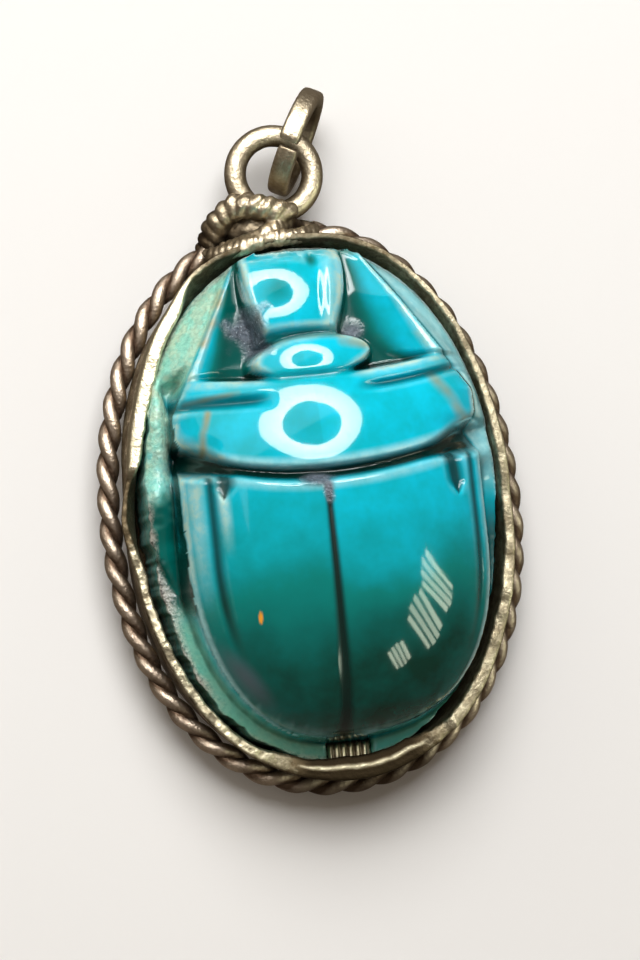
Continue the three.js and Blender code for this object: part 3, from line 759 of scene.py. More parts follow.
@dataclass
class Scarab:
    """The glazed beetle on its oval plinth, one carved stone."""

    carving: Carving = field(default_factory=Carving)
    columns: int = 244
    rows: int = 332
    base_share: int = 3
    side_rows: int = 6
    foot: float = LEDGE_THICKNESS + SETTING_GAP
    edge_round: float = 0.22
    stroke_depth: float = 0.09
    stroke_rows: int = 7
    strokes_in_row: int = 5
    row_pitch: float = 1.75
    stroke_pitch: float = 1.45
    stroke_half_length: float = 0.45

    def chips(self, degrees: np.ndarray) -> np.ndarray:
        """How far the plinth's worn edge stands back from its outline, in millimetres, round the oval."""
        back = round_trip([(5, 0.1), (60, 0.06), (100, 0.05), (135, 0.06), (160, 0.22), (200, 0.3),
                           (235, 0.2),
                           (262, 0.05), (285, 0.12), (320, 0.34), (345, 0.3)], degrees)
        angle = np.radians(degrees)
        rough = Grain(5, 0.5).at(9 * np.cos(angle), 9 * np.sin(angle))
        fine = Grain(6, 0.17).at(9 * np.cos(angle), 9 * np.sin(angle))
        uneven = 1 - 0.6 * zone(degrees, 262, 350, 20)
        return np.maximum(back * (1 + uneven * (0.5 * rough + 0.25 * fine)), 0.02)

    def plan(self, columns: int, rows: int, inset: float = 0.0) -> tuple[np.ndarray, np.ndarray]:
        """A square grid bent to fill the plinth's outline, row by row from the tail."""
        u, v = np.meshgrid(np.linspace(-1, 1, columns), np.linspace(-1, 1, rows))
        round_x, round_y = u * np.sqrt(1 - v * v / 2), v * np.sqrt(1 - u * u / 2)
        reach, angle = np.hypot(round_x, round_y), np.arctan2(round_y, round_x)
        oval = plinth_oval(PLINTH_TOP, inset)
        degrees = oval.degrees_at(*oval.point(angle))
        shrink = 1 - self.chips(degrees) / oval.half_width
        x, y = oval.point(angle, reach * mix(1.0, shrink, reach ** 6))
        return x.ravel(), y.ravel()

    def surface(self, x: np.ndarray, y: np.ndarray) -> tuple[np.ndarray, dict[str, np.ndarray]]:
        """The stone's top at plan points.

        Args:
            x: Places across, in millimetres.
            y: Places along.
        Returns:
            The level of the surface, and the marks that its glaze reads.
        """
        across, along = self.carving.stations(x, y)
        height, cut, lip = self.carving.carve(x, y, across, along)
        inside = (np.abs(across) < 1) & (along < Station.HEAD_FRONT) & (along > Station.TAIL)
        beyond = np.where(inside, 0.0, distance_to_path(x, y, self.carving.outline()))
        share = plinth_oval(PLINTH_TOP).share_at(x, y)
        to_edge = np.maximum((1 - share) * self.carving.oval.half_width, 0.0)
        down = beyond / np.maximum(beyond + to_edge, 1e-6)
        leg, on_leg, leg_place = self.leg(x, y)
        outside = self.flank(x, y, height, beyond, down, leg)
        level = PLINTH_TOP + np.where(inside, height, outside)
        marks = self.marks(x, y, across, inside, beyond, to_edge)
        left = x < self.carving.oval.middle
        on_leg = on_leg * ~inside * left
        mottled = leg_place + 0.14 * Grain(23, 0.5).at(x, y) + 0.08 * Grain(24, 0.2).at(x, y)
        marks["bare"] = np.maximum(marks["bare"], on_leg * (1 - smooth(mottled, 0.3, 0.72)) * 0.9)
        marks["pool_and_shade"] = np.maximum(marks["pool_and_shade"], on_leg * smooth(mottled, 0.3, 0.75) * 0.8)
        in_trench = np.where(~inside & left, (1 - smooth(beyond, 0.2, 0.5)) * (1 - on_leg), 0.0)
        in_trench *= smooth(y, -4.3, -2.8) * (1 - smooth(y, 3.6, 4.6))
        hollow = inside * cut * self.carving.ahead_of_shield(along)
        marks["pool_and_shade"] = np.maximum(marks["pool_and_shade"], 0.78 * hollow)
        foot_line = 0.6 * (1 - smooth(beyond, 0.03, 0.12))
        shaded = 0.85 * (1 - smooth(y, -1.8, 0.2)) * smooth(y, -6.6, -5.4)
        # Outside the beetle the cut mark also carries this painted shade on the right flank.
        outer_cut = np.maximum(in_trench, np.maximum(foot_line, shaded) * ~left)
        marks["cut"] = np.where(inside, cut - 0.62 * hollow, outer_cut)
        pale_flank = 0.85 * smooth(beyond, 0.03, 0.2) * smooth(y, -0.5, 1.2) * ~left
        marks["lip"] = np.where(inside, lip, pale_flank)
        rough = np.maximum(marks["bare"], marks["chip"])
        level = level + 0.005 * Grain(11, 1.1).at(x, y) + rough * (
            0.04 * Grain(12, 0.35).at(x, y) + 0.022 * Grain(13, 0.14).at(x, y))
        level = level + marks["earth"] * (0.03 + 0.03 * Grain(14, 0.16).at(x, y))
        rounding = np.clip(1 - to_edge / self.edge_round, 0, 1)
        level = level - self.edge_round * (1 - np.sqrt(1 - rounding ** 2)) * (level > PLINTH_TOP - 0.3)
        tab_middle = collar_oval(PLINTH_TOP).middle + TAB_OFFSET
        tab_inner = -(collar_oval(PLINTH_TOP, COLLAR_WALL).half_length - TAB_REACH)
        notch = (np.abs(x - tab_middle) < TAB_WIDTH / 2 + SETTING_GAP) & (y < tab_inner + SETTING_GAP)
        return np.where(notch, PLINTH_TOP + 0.1 - TAB_THICKNESS - SETTING_GAP, level), marks

    @staticmethod
    def leg(x: np.ndarray, y: np.ndarray) -> tuple[np.ndarray, np.ndarray, np.ndarray]:
        """The lumpy, leaf-shaped leg on the left.

        Args:
            x: Places across, in millimetres.
            y: Places along.
        Returns:
            Its height above the plinth, where it is, from 0 to 1, and the share of the way down its length.
        """
        path = [(-5.15, 4.9), (-5.24, 3.64), (-5.38, 2.2), (-5.5, 0.74), (-5.42, -1.0), (-5.1, -2.6)]
        away = distance_to_path(x, y, path)
        place = np.clip((4.9 - y) / 7.5, 0, 1)
        at = [0.0, 0.17, 0.36, 0.55, 0.79, 1.0]
        half_width = np.interp(place, at, [0.15, 0.46, 0.52, 0.62, 0.5, 0.1])
        top = np.interp(place, at, [0.9, 1.15, 1.05, 1.0, 0.6, 0.15])
        half_width = half_width * (1 + 0.16 * Grain(21, 0.7).at(x, y))
        share = np.clip(away / half_width, 0, 1)
        lumps = 1 + 0.14 * Grain(22, 0.6).at(x, y) + 0.1 * np.sin(y * 2.6)
        return top * lumps * np.sqrt(1 - share ** 2), 1 - smooth(share, 0.75, 1.0), place

    def flank(self, x: np.ndarray, y: np.ndarray, height: np.ndarray, beyond: np.ndarray,
              down: np.ndarray,
              leg: np.ndarray) -> np.ndarray:
        """The stone outside the beetle's outline: the legs, and the slopes down to the plinth's edge.

        Args:
            x: Places across, in millimetres.
            y: Places along.
            height: The back's height above the plinth, carried on outwards from the outline.
            beyond: The distance outside the outline.
            down: The share of the way from the outline to the plinth's edge.
            leg: The left leg's height.
        Returns:
            The height above the plinth.
        """
        lengthwise = y / self.carving.oval.half_length
        left = x < self.carving.oval.middle
        fall = height * np.exp(-(beyond / 0.15) ** 1.4)
        slope = height * (1 - down) ** 0.9 * 0.96 + 0.03
        crease_path = [(-2.45, 8.4), (-3.0, 7.1), (-3.6, 5.85), (-4.25, 4.5)]
        crease = 0.07 * vee(distance_to_path(x, y, crease_path), 0.07)
        trench = np.maximum(fall, 0.1)
        band = 0.42 * (1 - down) + 0.02 - 0.12 * vee(beyond - 0.06, 0.07)
        left_form = mix(np.maximum(trench, leg), np.maximum(band, leg),
                        1 - smooth(lengthwise, -0.42, -0.2))
        left_form = mix(left_form, slope - crease, smooth(lengthwise - 0.03 * x, 0.62, 0.7))
        pale_slope = slope + 0.07 * np.sin(down * 7 + y * 1.3) * down * (1 - down) * 3
        lobes = 0.3 * (1 - down) + 0.06
        right_form = mix(np.maximum(lobes, fall), pale_slope, smooth(lengthwise, 0.02, 0.2))
        return np.maximum(np.where(left, left_form, right_form), fall)

    def marks(self, x: np.ndarray, y: np.ndarray, across: np.ndarray, inside: np.ndarray,
              beyond: np.ndarray,
              to_edge: np.ndarray) -> dict[str, np.ndarray]:
        """How the glaze varies over the top: gathered glaze and painted shade towards the tail, bare,
        chipped, dirty or stained, and a painted sheen.

        Args:
            x: Places across, in millimetres.
            y: Places along.
            across: The share of the way out from the seam.
            inside: Whether a place lies on the beetle.
            beyond: The distance outside its outline.
            to_edge: The distance to the plinth's edge.
        Returns:
            Each mark, from 0 to 1.
        """
        lengthwise = y / self.carving.oval.half_length
        left = x < self.carving.oval.middle
        cloud = Grain(31, 1.7).at(x, y)
        size = np.minimum(np.abs(across), 1)
        # Darker towards the tail: glaze that gathered there, and painted shade.
        at = [-7.2, -6.4, -5.4, -4.4, -3.4, -2.4, -1.4, -0.4, 1.0]
        pool_and_shade = np.where(across < 0, np.interp(y, at, [0.85, 0.92, 0.9, 0.84, 0.6, 0.4, 0.3, 0.2, 0.08]),
                        np.interp(y, at, [1.0, 1.0, 0.92, 0.75, 0.54, 0.34, 0.2, 0.09, 0.0]))
        pool_and_shade = pool_and_shade + 0.2 * cloud * smooth(-y, 0.5, 3.0)
        pool_and_shade = pool_and_shade + 0.08 * Grain(35, 0.8).at(x, y) * smooth(-y, -0.5, 2.0)
        pool_and_shade = pool_and_shade * (1 - 0.2 * smooth(size, 0.75, 0.95))
        pool_and_shade = pool_and_shade + 0.12 * swell(np.hypot((x + 0.4) / 1.4, (y - 2.6) / 1.2), 1.0)
        pool_and_shade = pool_and_shade + 0.3 * swell(np.hypot((x + 0.75) / 0.75, (y - 7.3) / 0.75), 1.0)
        # The band beside the left wing case also darkens towards the tail, partly as painted shade.
        band_pool_and_shade = 0.2 + 0.25 * smooth(-lengthwise, 0.2, 0.9)
        leg_end = 0.85 * smooth(y, -3.9, -3.0) * (1 - smooth(y, -1.6, -0.6))
        pool_and_shade = np.where(inside, pool_and_shade, np.where(left, np.maximum(band_pool_and_shade, leg_end), 0.15))
        head_slope = (~inside & left) * smooth(beyond, 0.02, 0.12) * smooth(lengthwise, 0.42, 0.52)
        band = (~inside & left) * smooth(beyond, 0.05, 0.2) * (1 - smooth(lengthwise, -0.44, -0.3))
        lobe = (~inside & ~left) * smooth(beyond, 0.05, 0.2) * (1 - smooth(lengthwise, -0.7, -0.5))
        bare = np.maximum(head_slope * (0.8 + 0.2 * Grain(32, 0.4).at(x, y)), band * 0.22)
        mint = np.max([band * 0.8, lobe * 0.75, head_slope * 0.6], axis=0)
        chip_reach = 0.45 + 0.3 * swell(y + 3.0, 1.6) + 0.1 * Grain(36, 0.4).at(x, y)
        chip = (~inside & left) * (1 - np.clip((to_edge - 0.2) / (chip_reach - 0.2), 0, 1))
        chip = chip * (1 - smooth(lengthwise, 0.0, 0.12))
        chip = chip * smooth(lengthwise, -0.78, -0.6)
        chip = np.maximum(chip, 0.5 * ~inside * (1 - smooth(to_edge, 0.08, 0.22)))
        spots = [(-1.95, 6.2, 0.75, 0.95), (-1.6, 5.5, 0.5, 0.4), (1.9, 5.85, 0.42, 0.45),
                 (-0.35, 0.62, 0.7, 0.22), (0.0, 0.25, 0.2, 0.45)]
        earth = np.zeros_like(x)
        for spot_x, spot_y, half_x, half_y in spots:
            near = np.hypot((x - spot_x) / half_x, (y - spot_y) / half_y) + 0.6 * Grain(33, 0.35).at(x, y)
            earth = np.maximum(earth, 0.95 * (1 - smooth(near, 0.2, 1.25)))
        stains = [([(-3.7, 3.3), (-3.95, 2.6), (-3.98, 1.9)], 0.2, 0.75),
                  ([(4.25, 3.8), (4.85, 3.0), (5.2, 2.3)], 0.35, 0.7),
                  ([(-2.55, 7.6), (-3.0, 6.6), (-3.45, 5.8)], 0.25, 0.7),
                  ([(1.2, 5.35), (1.95, 5.2)], 0.3, 0.7),
                  ([(-4.35, 3.75), (-2.6, 3.9)], 0.16, 0.6)]
        ochre = np.zeros_like(x)
        for path, half_width, strength in stains:
            ochre = np.maximum(ochre, strength * swell(distance_to_path(x, y, path), half_width))
        ochre *= np.clip(0.75 + 0.6 * Grain(34, 0.35).at(x, y), 0, 1)
        # A painted sheen: a reflection painted as a grey-blue patch on the dark glaze at the left of the
        # tail.
        sheen_across, sheen_along = 0.82 * (x + 3.3) + 0.57 * (y + 5.85), 0.57 * (x + 3.3) - 0.82 * (y + 5.85)
        sheen = 0.8 * swell(np.hypot(sheen_across / 0.5, sheen_along / 1.9), 1.0) * inside
        fleck = smooth(1 - np.hypot((x + 2.73) / 0.075, (y + 3.86) / 0.27), 0.0, 0.4)
        outer_wing = 0.9 * inside * left * smooth(np.abs(across), 0.68, 0.75) * smooth(y, -4.5, 0.5)
        creamy = np.maximum(smooth(y, 3.6, 4.6) * (inside | left), outer_wing)
        found = {"pool_and_shade": pool_and_shade, "mint": mint, "creamy": creamy, "bare": bare, "chip": chip,
                 "earth": earth, "ochre": ochre, "sheen": sheen,
                 "fleck": fleck}
        return {name: np.clip(values, 0, 1) for name, values in found.items()}

    @staticmethod
    def blurred(level: np.ndarray, radius: int) -> np.ndarray:
        """A grid of levels, averaged over its neighbours both ways."""
        kernel = np.hanning(2 * radius + 3)[1:-1]
        kernel /= kernel.sum()
        for axis in (0, 1):
            padded = np.pad(level, [(radius, radius) if a == axis else (0, 0) for a in (0, 1)],
                            mode="edge")
            level = np.apply_along_axis(np.convolve, axis, padded, kernel, "valid")
        return level

    def underside(self, x: np.ndarray, y: np.ndarray) -> np.ndarray:
        """The flat base: an incised border and rows of short strokes that stand for an inscription."""
        share = plinth_oval(PLINTH_TOP).share_at(x, y)
        cut = vee(share - 0.8, 0.018)
        inner = smooth(0.76 - share, 0.0, 0.02)
        for row in range(self.stroke_rows):
            middle = (row - self.stroke_rows // 2) * self.row_pitch
            for place in range(self.strokes_in_row):
                lean = 0.35 * math.sin(row * 2.3 + place * 1.7)
                start = (place - self.strokes_in_row // 2) * self.stroke_pitch + 0.3 * math.sin(row * 1.9)
                ends = [(start - lean, middle - self.stroke_half_length),
                        (start + lean, middle + self.stroke_half_length)]
                cut = np.maximum(cut, inner * vee(distance_to_path(x, y, ends), 0.13))
            cut = np.maximum(cut, inner * vee(y - middle - self.row_pitch / 2, 0.09))
        return self.foot + self.stroke_depth * cut + 0.012 * Grain(41, 0.6).at(x, y)

    def build(self, glaze: bpy.types.Material) -> bpy.types.Object:
        """Makes the stone: its carved top, its sides and its base, as one closed mesh."""
        x, y = self.plan(self.columns, self.rows)
        level, marks = self.surface(x, y)
        grid = self.blurred(level.reshape(self.rows, self.columns), 2)
        broad = (grid - self.blurred(grid, 7)).ravel()
        by_seam = swell(x - self.carving.seam_x, 1.1) * (y < 0.6)
        marks["cut"] = np.clip(np.maximum(marks["cut"], -broad / 0.3 - 0.15), 0, 1)
        marks["lip"] = np.clip(np.maximum(marks["lip"], (broad / 0.3 - 0.1) * (1 - by_seam)), 0, 0.85)
        level = grid.ravel()
        top = np.column_stack([x, y, level])
        ring = self.border(self.columns, self.rows)
        points = [top]
        base_level = self.foot
        for i in range(1, self.side_rows + 1):
            share = i / self.side_rows
            row = top[ring].copy()
            inward = 1 - 0.006 * share
            middle = self.carving.oval.middle
            row[:, 0] = middle + (row[:, 0] - middle) * inward - 0.2 * share
            row[:, 1] *= inward
            row[:, 2] = mix(row[:, 2], base_level, share)
            points.append(row)
        low_x, low_y = self.plan(self.columns // self.base_share, self.rows // self.base_share, 0.3)
        points.append(np.column_stack([low_x - 0.2, low_y, self.underside(low_x, low_y)]))
        faces = grid_faces(self.rows, self.columns)
        faces += self.side_faces(ring, len(top))
        faces += self.base_faces(len(top), len(ring))
        everything = np.concatenate(points)
        filled = {name: np.concatenate([values, np.zeros(len(everything) - len(values))])
                  for name, values in marks.items()}
        filled["bare"][len(top):] = 0.7
        piece = make_object("scarab_stone", everything, faces, glaze, filled)
        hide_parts("scarab")
        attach(piece, Body.ROOT.value)
        return piece

    @staticmethod
    def border(columns: int, rows: int) -> np.ndarray:
        """The numbers of a grid's outer points, in order round it from its first."""
        first = np.arange(columns - 1)
        right = np.arange(rows - 1) * columns + columns - 1
        last = (rows - 1) * columns + np.arange(columns - 1, 0, -1)
        left = np.arange(rows - 1, 0, -1) * columns
        return np.concatenate([first, right, last, left])

    def side_faces(self, ring: np.ndarray, first: int) -> list[tuple[int, ...]]:
        """Quads from the top's outer points down the sides."""
        count = len(ring)
        rows = [ring.tolist()]
        rows += [[first + i * count + j for j in range(count)] for i in range(self.side_rows)]
        faces = []
        for upper, lower in zip(rows, rows[1:]):
            for j in range(count):
                k = (j + 1) % count
                faces.append((upper[j], upper[k], lower[k], lower[j]))
        return faces

    def base_faces(self, top_count: int, ring_count: int) -> list[tuple[int, ...]]:
        """The base's own coarser grid, joined to the lowest row of the sides."""
        columns, rows = self.columns // self.base_share, self.rows // self.base_share
        side_first = top_count + (self.side_rows - 1) * ring_count
        first = top_count + self.side_rows * ring_count
        faces = [tuple(reversed(face)) for face in grid_faces(rows, columns, first)]
        inner = [first + int(i) for i in self.border(columns, rows)]
        outer = [side_first + i for i in range(ring_count)]
        return faces + zipped(outer, inner)


def zipped(outer: list[int], inner: list[int]) -> list[tuple[int, ...]]:
    """Triangles between two closed rows of points with different counts that run side by side."""
    faces = []
    i = j = 0
    while i < len(outer) or j < len(inner):
        if j >= len(inner) or (i < len(outer) and (i + 1) * len(inner) <= (j + 1) * len(outer)):
            faces.append((outer[i % len(outer)], outer[(i + 1) % len(outer)], inner[j % len(inner)]))
            i += 1
        else:
            faces.append((outer[i % len(outer)], inner[(j + 1) % len(inner)], inner[j % len(inner)]))
            j += 1
    return faces


# The silver collar.


@dataclass
class Collar:
    """The strip of silver round the stone, with its worn rim, its inner ledge and the tab at the tail."""

    steps: int = 1080
    outer_rows: int = 16
    inner_rows: int = 12
    rim_rows: int = 9
    dent: float = 0.05
    belly: float = 0.4
    belly_at: float = math.radians(150)
    belly_reach: float = math.radians(42)
    strip_lean: float = 0.1

    def bulge(self, degrees: np.ndarray) -> np.ndarray:
        """How far the rim is pushed out of its oval, in millimetres, round the collar."""
        return round_trip([(0, -0.1), (20, -0.16), (42, -0.12), (64, -0.02), (100, 0.0), (121, 0.2),
                           (134, 0.03),
                           (156, -0.06), (169, 0.0), (180, 0.36), (191, 0.1), (215, 0.03), (244, 0.08),
                           (272, 0.24), (300, 0.06), (345, 0.0)], degrees)

    def rim_level(self, angle: np.ndarray) -> np.ndarray:
        """The rim's height: a long wave, the torn place on the left and fine nicks."""
        degrees = np.degrees(angle) % 360
        wave = 0.09 * (np.sin(5 * angle + 0.6) + 0.6 * np.sin(11 * angle)) / 1.6
        torn = -0.3 * zone(degrees, 171.5, 178.5, 2.5)
        ragged = Grain(51, 0.45).at(8 * np.cos(angle), 8 * np.sin(angle))
        lumpy = zone(degrees, 296, 352, 12) + zone(degrees, 358, 368, 4)
        return COLLAR_HEIGHT + wave + torn + ragged * (0.025 + 0.07 * lumpy)

    def rim_width(self, degrees: np.ndarray) -> np.ndarray:
        """The rim's width from its outer to its inner edge."""
        return round_trip([(0, 0.38), (30, 0.28), (60, 0.24), (100, 0.24), (122, 0.2), (132, 0.5),
                           (150, 0.55),
                           (165, 0.5), (175, 0.2), (187, 0.34), (215, 0.36), (240, 0.4), (256, 0.66),
                           (270, 0.86),
                           (284, 0.82), (300, 0.5), (330, 0.48)], degrees)

    def section(self, angle: np.ndarray) -> tuple[list[np.ndarray], list[np.ndarray]]:
        """The rows of points round the strip's section, and how worn each is.

        Args:
            angle: The angles of the columns.
        Returns:
            Rows of points from the foot up outside, over the rim, down inside and back under the ledge, and
            for each row the share of the way that it is exposed to rubbing.
        """
        degrees = np.degrees(angle) % 360
        rim, bulge, width = self.rim_level(angle), self.bulge(degrees), self.rim_width(degrees)
        x_cos, y_sin = 9 * np.cos(angle), 9 * np.sin(angle)
        rows, worn, seam = [], [], {}

        def add(level: np.ndarray, inset: np.ndarray, rubbed: float) -> None:
            """Adds a row at a level, inset from the collar's outside there."""
            share = level / COLLAR_HEIGHT
            oval_x, oval_y = self.outside(angle, level)
            length = np.hypot(np.cos(angle), np.sin(angle))
            out_x, out_y = np.cos(angle) / length, np.sin(angle) / length
            move = bulge * share ** 2 - inset
            rows.append(np.column_stack([oval_x + out_x * move, oval_y + out_y * move, level]))
            worn.append(np.full(len(angle), rubbed))

        belly = self.belly * swell(angle - self.belly_at, self.belly_reach)
        for i in range(self.outer_rows):
            share = i / self.outer_rows
            dent = self.dent * Grain(52, 1.6).at(x_cos, y_sin, share * 3) * math.sin(math.pi * share)
            off_level = abs(share * COLLAR_HEIGHT - ROPE_LEVEL) / (COLLAR_HEIGHT - ROPE_LEVEL)
            pushed = belly * (1 - off_level) ** 0.8
            add(rim * share, -dent - pushed, 0.1 + 0.25 * share)
        for i in range(self.rim_rows + 1):
            turn = math.pi * i / self.rim_rows
            inset = width / 2 * (1 - math.cos(turn))
            edge = Grain(53, 0.3).at(x_cos, y_sin) * 0.05 * (i / self.rim_rows)
            flat = min(1.0, 1.35 * math.sin(turn))
            lean = self.strip_lean * (inset / width - 0.5) * zone(degrees, 122, 172, 6)
            add(rim - 0.1 + 0.1 * flat + lean, inset + edge, 0.2 + 0.3 * flat)
            seam[len(rows) - 1] = i == self.rim_rows // 2 + 1
        for i in range(1, self.inner_rows):
            share = i / self.inner_rows
            inset = mix(width, COLLAR_WALL, smooth(np.array(share), 0.0, 0.35))
            add(mix(rim - 0.1, LEDGE_THICKNESS, share), inset, 0.35 * (1 - share))
        ledge = np.full_like(angle, LEDGE_THICKNESS)
        for share in np.linspace(0, 1, 6):
            add(ledge, np.full_like(angle, COLLAR_WALL + LEDGE_REACH * share), 0.1)
        add(ledge / 2, np.full_like(angle, COLLAR_WALL + LEDGE_REACH + 0.03), 0.4)
        for share in np.linspace(1, 0.1, 8):
            nick = 0.02 * Grain(54, 0.8).at(x_cos, y_sin, share)
            reach = (COLLAR_WALL + LEDGE_REACH) * share
            add(np.maximum(nick, 0.0), np.full_like(angle, reach), 0.5)
        folded = zone(degrees, 256, 291, 4)
        for number, on_seam in seam.items():
            worn[number] = worn[number] + folded * (0.7 if on_seam else -0.4)
            rows[number][:, 2] += folded * (0.02 if on_seam else -0.02)
        return rows, worn

    @staticmethod
    def outside(angle: np.ndarray, level: np.ndarray) -> tuple[np.ndarray, np.ndarray]:
        """Places on the collar's outside, at a level of its own for each angle."""
        share = level / COLLAR_HEIGHT
        power = 2 / mix(2.0, COLLAR_RIM_SQUARENESS, share)
        across = np.sign(np.cos(angle)) * np.abs(np.cos(angle)) ** power
        along = np.sign(np.sin(angle)) * np.abs(np.sin(angle)) ** power
        egg = COLLAR_FOOT_EGG * np.clip(1 - share, 0, 1)
        x = COLLAR_LEAN * share + (COLLAR_FOOT_HALF_WIDTH + COLLAR_FLARE * share) * across * (1 - egg * along)
        return x, (COLLAR_FOOT_HALF_LENGTH + COLLAR_FLARE * share) * along

    def build(self, silver: bpy.types.Material) -> bpy.types.Object:
        """Makes the collar and its tab."""
        angle = np.linspace(0, 2 * math.pi, self.steps, endpoint=False)
        degrees = np.degrees(angle)
        rows, worn = self.section(angle)
        points = np.concatenate(rows)
        rubbed = np.concatenate(worn)
        around = np.tile(degrees, len(rows))
        top = smooth(points[:, 2], COLLAR_HEIGHT - 0.45, COLLAR_HEIGHT - 0.1)
        strip = zone(around, 124, 171, 6) * top
        pitted = zone(around, 180, 248, 6) * top
        pits = 0.6 * Grain(55, 0.15).at(*points.T) + 0.6 * Grain(58, 0.33).at(*points.T)
        points[:, 2] += (0.03 * pits * pitted) + 0.012 * Grain(56, 0.3).at(*points.T) * top
        rubbed = rubbed + 0.8 * strip + 0.25 * pitted * (pits > 0) - 0.15 * zone(around, 60, 118, 10)
        rubbed = rubbed - 0.5 * zone(around, 172, 184, 3) - 0.25 * zone(around, 252, 296, 8) * top
        low = 1 - smooth(points[:, 2], 1.2, 2.6)
        soot_and_shade = np.clip(0.65 * low + 0.35 * Grain(57, 0.5).at(*points.T) - 0.1 - 0.4 * strip, 0, 1)
        soot_and_shade = np.maximum(soot_and_shade, 0.55 * pitted * (pits < -0.25))
        soot_and_shade = np.maximum(soot_and_shade, 0.8 * zone(around, 256, 291, 8) * top * (rubbed < 0.6))
        soot_and_shade = np.maximum(soot_and_shade, 0.5 * (zone(around, 70, 116, 10) + zone(around, 172, 180, 3)) * top)
        count = len(rows)
        faces = grid_faces(count, self.steps, close_rows=True, close_columns=True)
        tab_points, tab_faces, tab_worn = self.tab(len(points))
        points = np.concatenate([points, tab_points])
        marks = {"worn": np.clip(np.concatenate([rubbed, tab_worn]), 0, 1),
                 "soot_and_shade": np.clip(np.concatenate([soot_and_shade, 0.6 * (1 - tab_worn)]), 0, 1)}
        piece = make_object("silver_collar", points, faces + tab_faces, silver, marks)
        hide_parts("bezel")
        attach(piece, Body.ROOT.value)
        return piece

    def tab(self, first: int) -> tuple[np.ndarray, list[tuple[int, ...]], np.ndarray]:
        """The ribbed tab that is pressed into the stone's notch at the tail, as a closed block.

        Args:
            first: The number of its first point in the collar's mesh.
        Returns:
            Its points, its faces and how worn each point is.
        """
        oval = collar_oval(PLINTH_TOP)
        middle = oval.middle + TAB_OFFSET
        outer = -(collar_oval(PLINTH_TOP, COLLAR_WALL / 2).half_length)
        inner = -(collar_oval(PLINTH_TOP, COLLAR_WALL).half_length - TAB_REACH)
        columns, rows = 61, 15
        across, along = np.meshgrid(np.linspace(-1, 1, columns), np.linspace(0, 1, rows))
        x = middle + across.ravel() * TAB_WIDTH / 2
        y = mix(outer, inner, along.ravel())
        ribs = np.sin(across.ravel() * 19 + 0.8 * np.sin(along.ravel() * 3))
        edge = smooth(1 - np.abs(across.ravel()), 0, 0.12) * smooth(1 - along.ravel(), 0, 0.12)
        top = PLINTH_TOP + 0.02 + 0.12 * (1 - along.ravel()) + 0.05 * ribs * edge - 0.12 * (1 - edge)
        low = np.full_like(top, PLINTH_TOP + 0.1 - TAB_THICKNESS)
        points = np.concatenate([np.column_stack([x, y, top]), np.column_stack([x, y, low])])
        upper = [(a + first, b + first, c + first, d + first) for a, b, c, d in grid_faces(rows, columns)]
        lower = [tuple(index + columns * rows for index in reversed(face)) for face in upper]
        ring = Scarab.border(columns, rows)
        sides = []
        for a, b in zip(ring, np.roll(ring, -1)):
            a, b = int(a) + first, int(b) + first
            sides.append((a, b, b + columns * rows, a + columns * rows))
        worn = np.concatenate([0.35 + 0.6 * (ribs > 0.2), np.full_like(top, 0.1)])
        return points, upper + lower + sides, worn


# Wires: the twisted border and the curled ends at the rings.


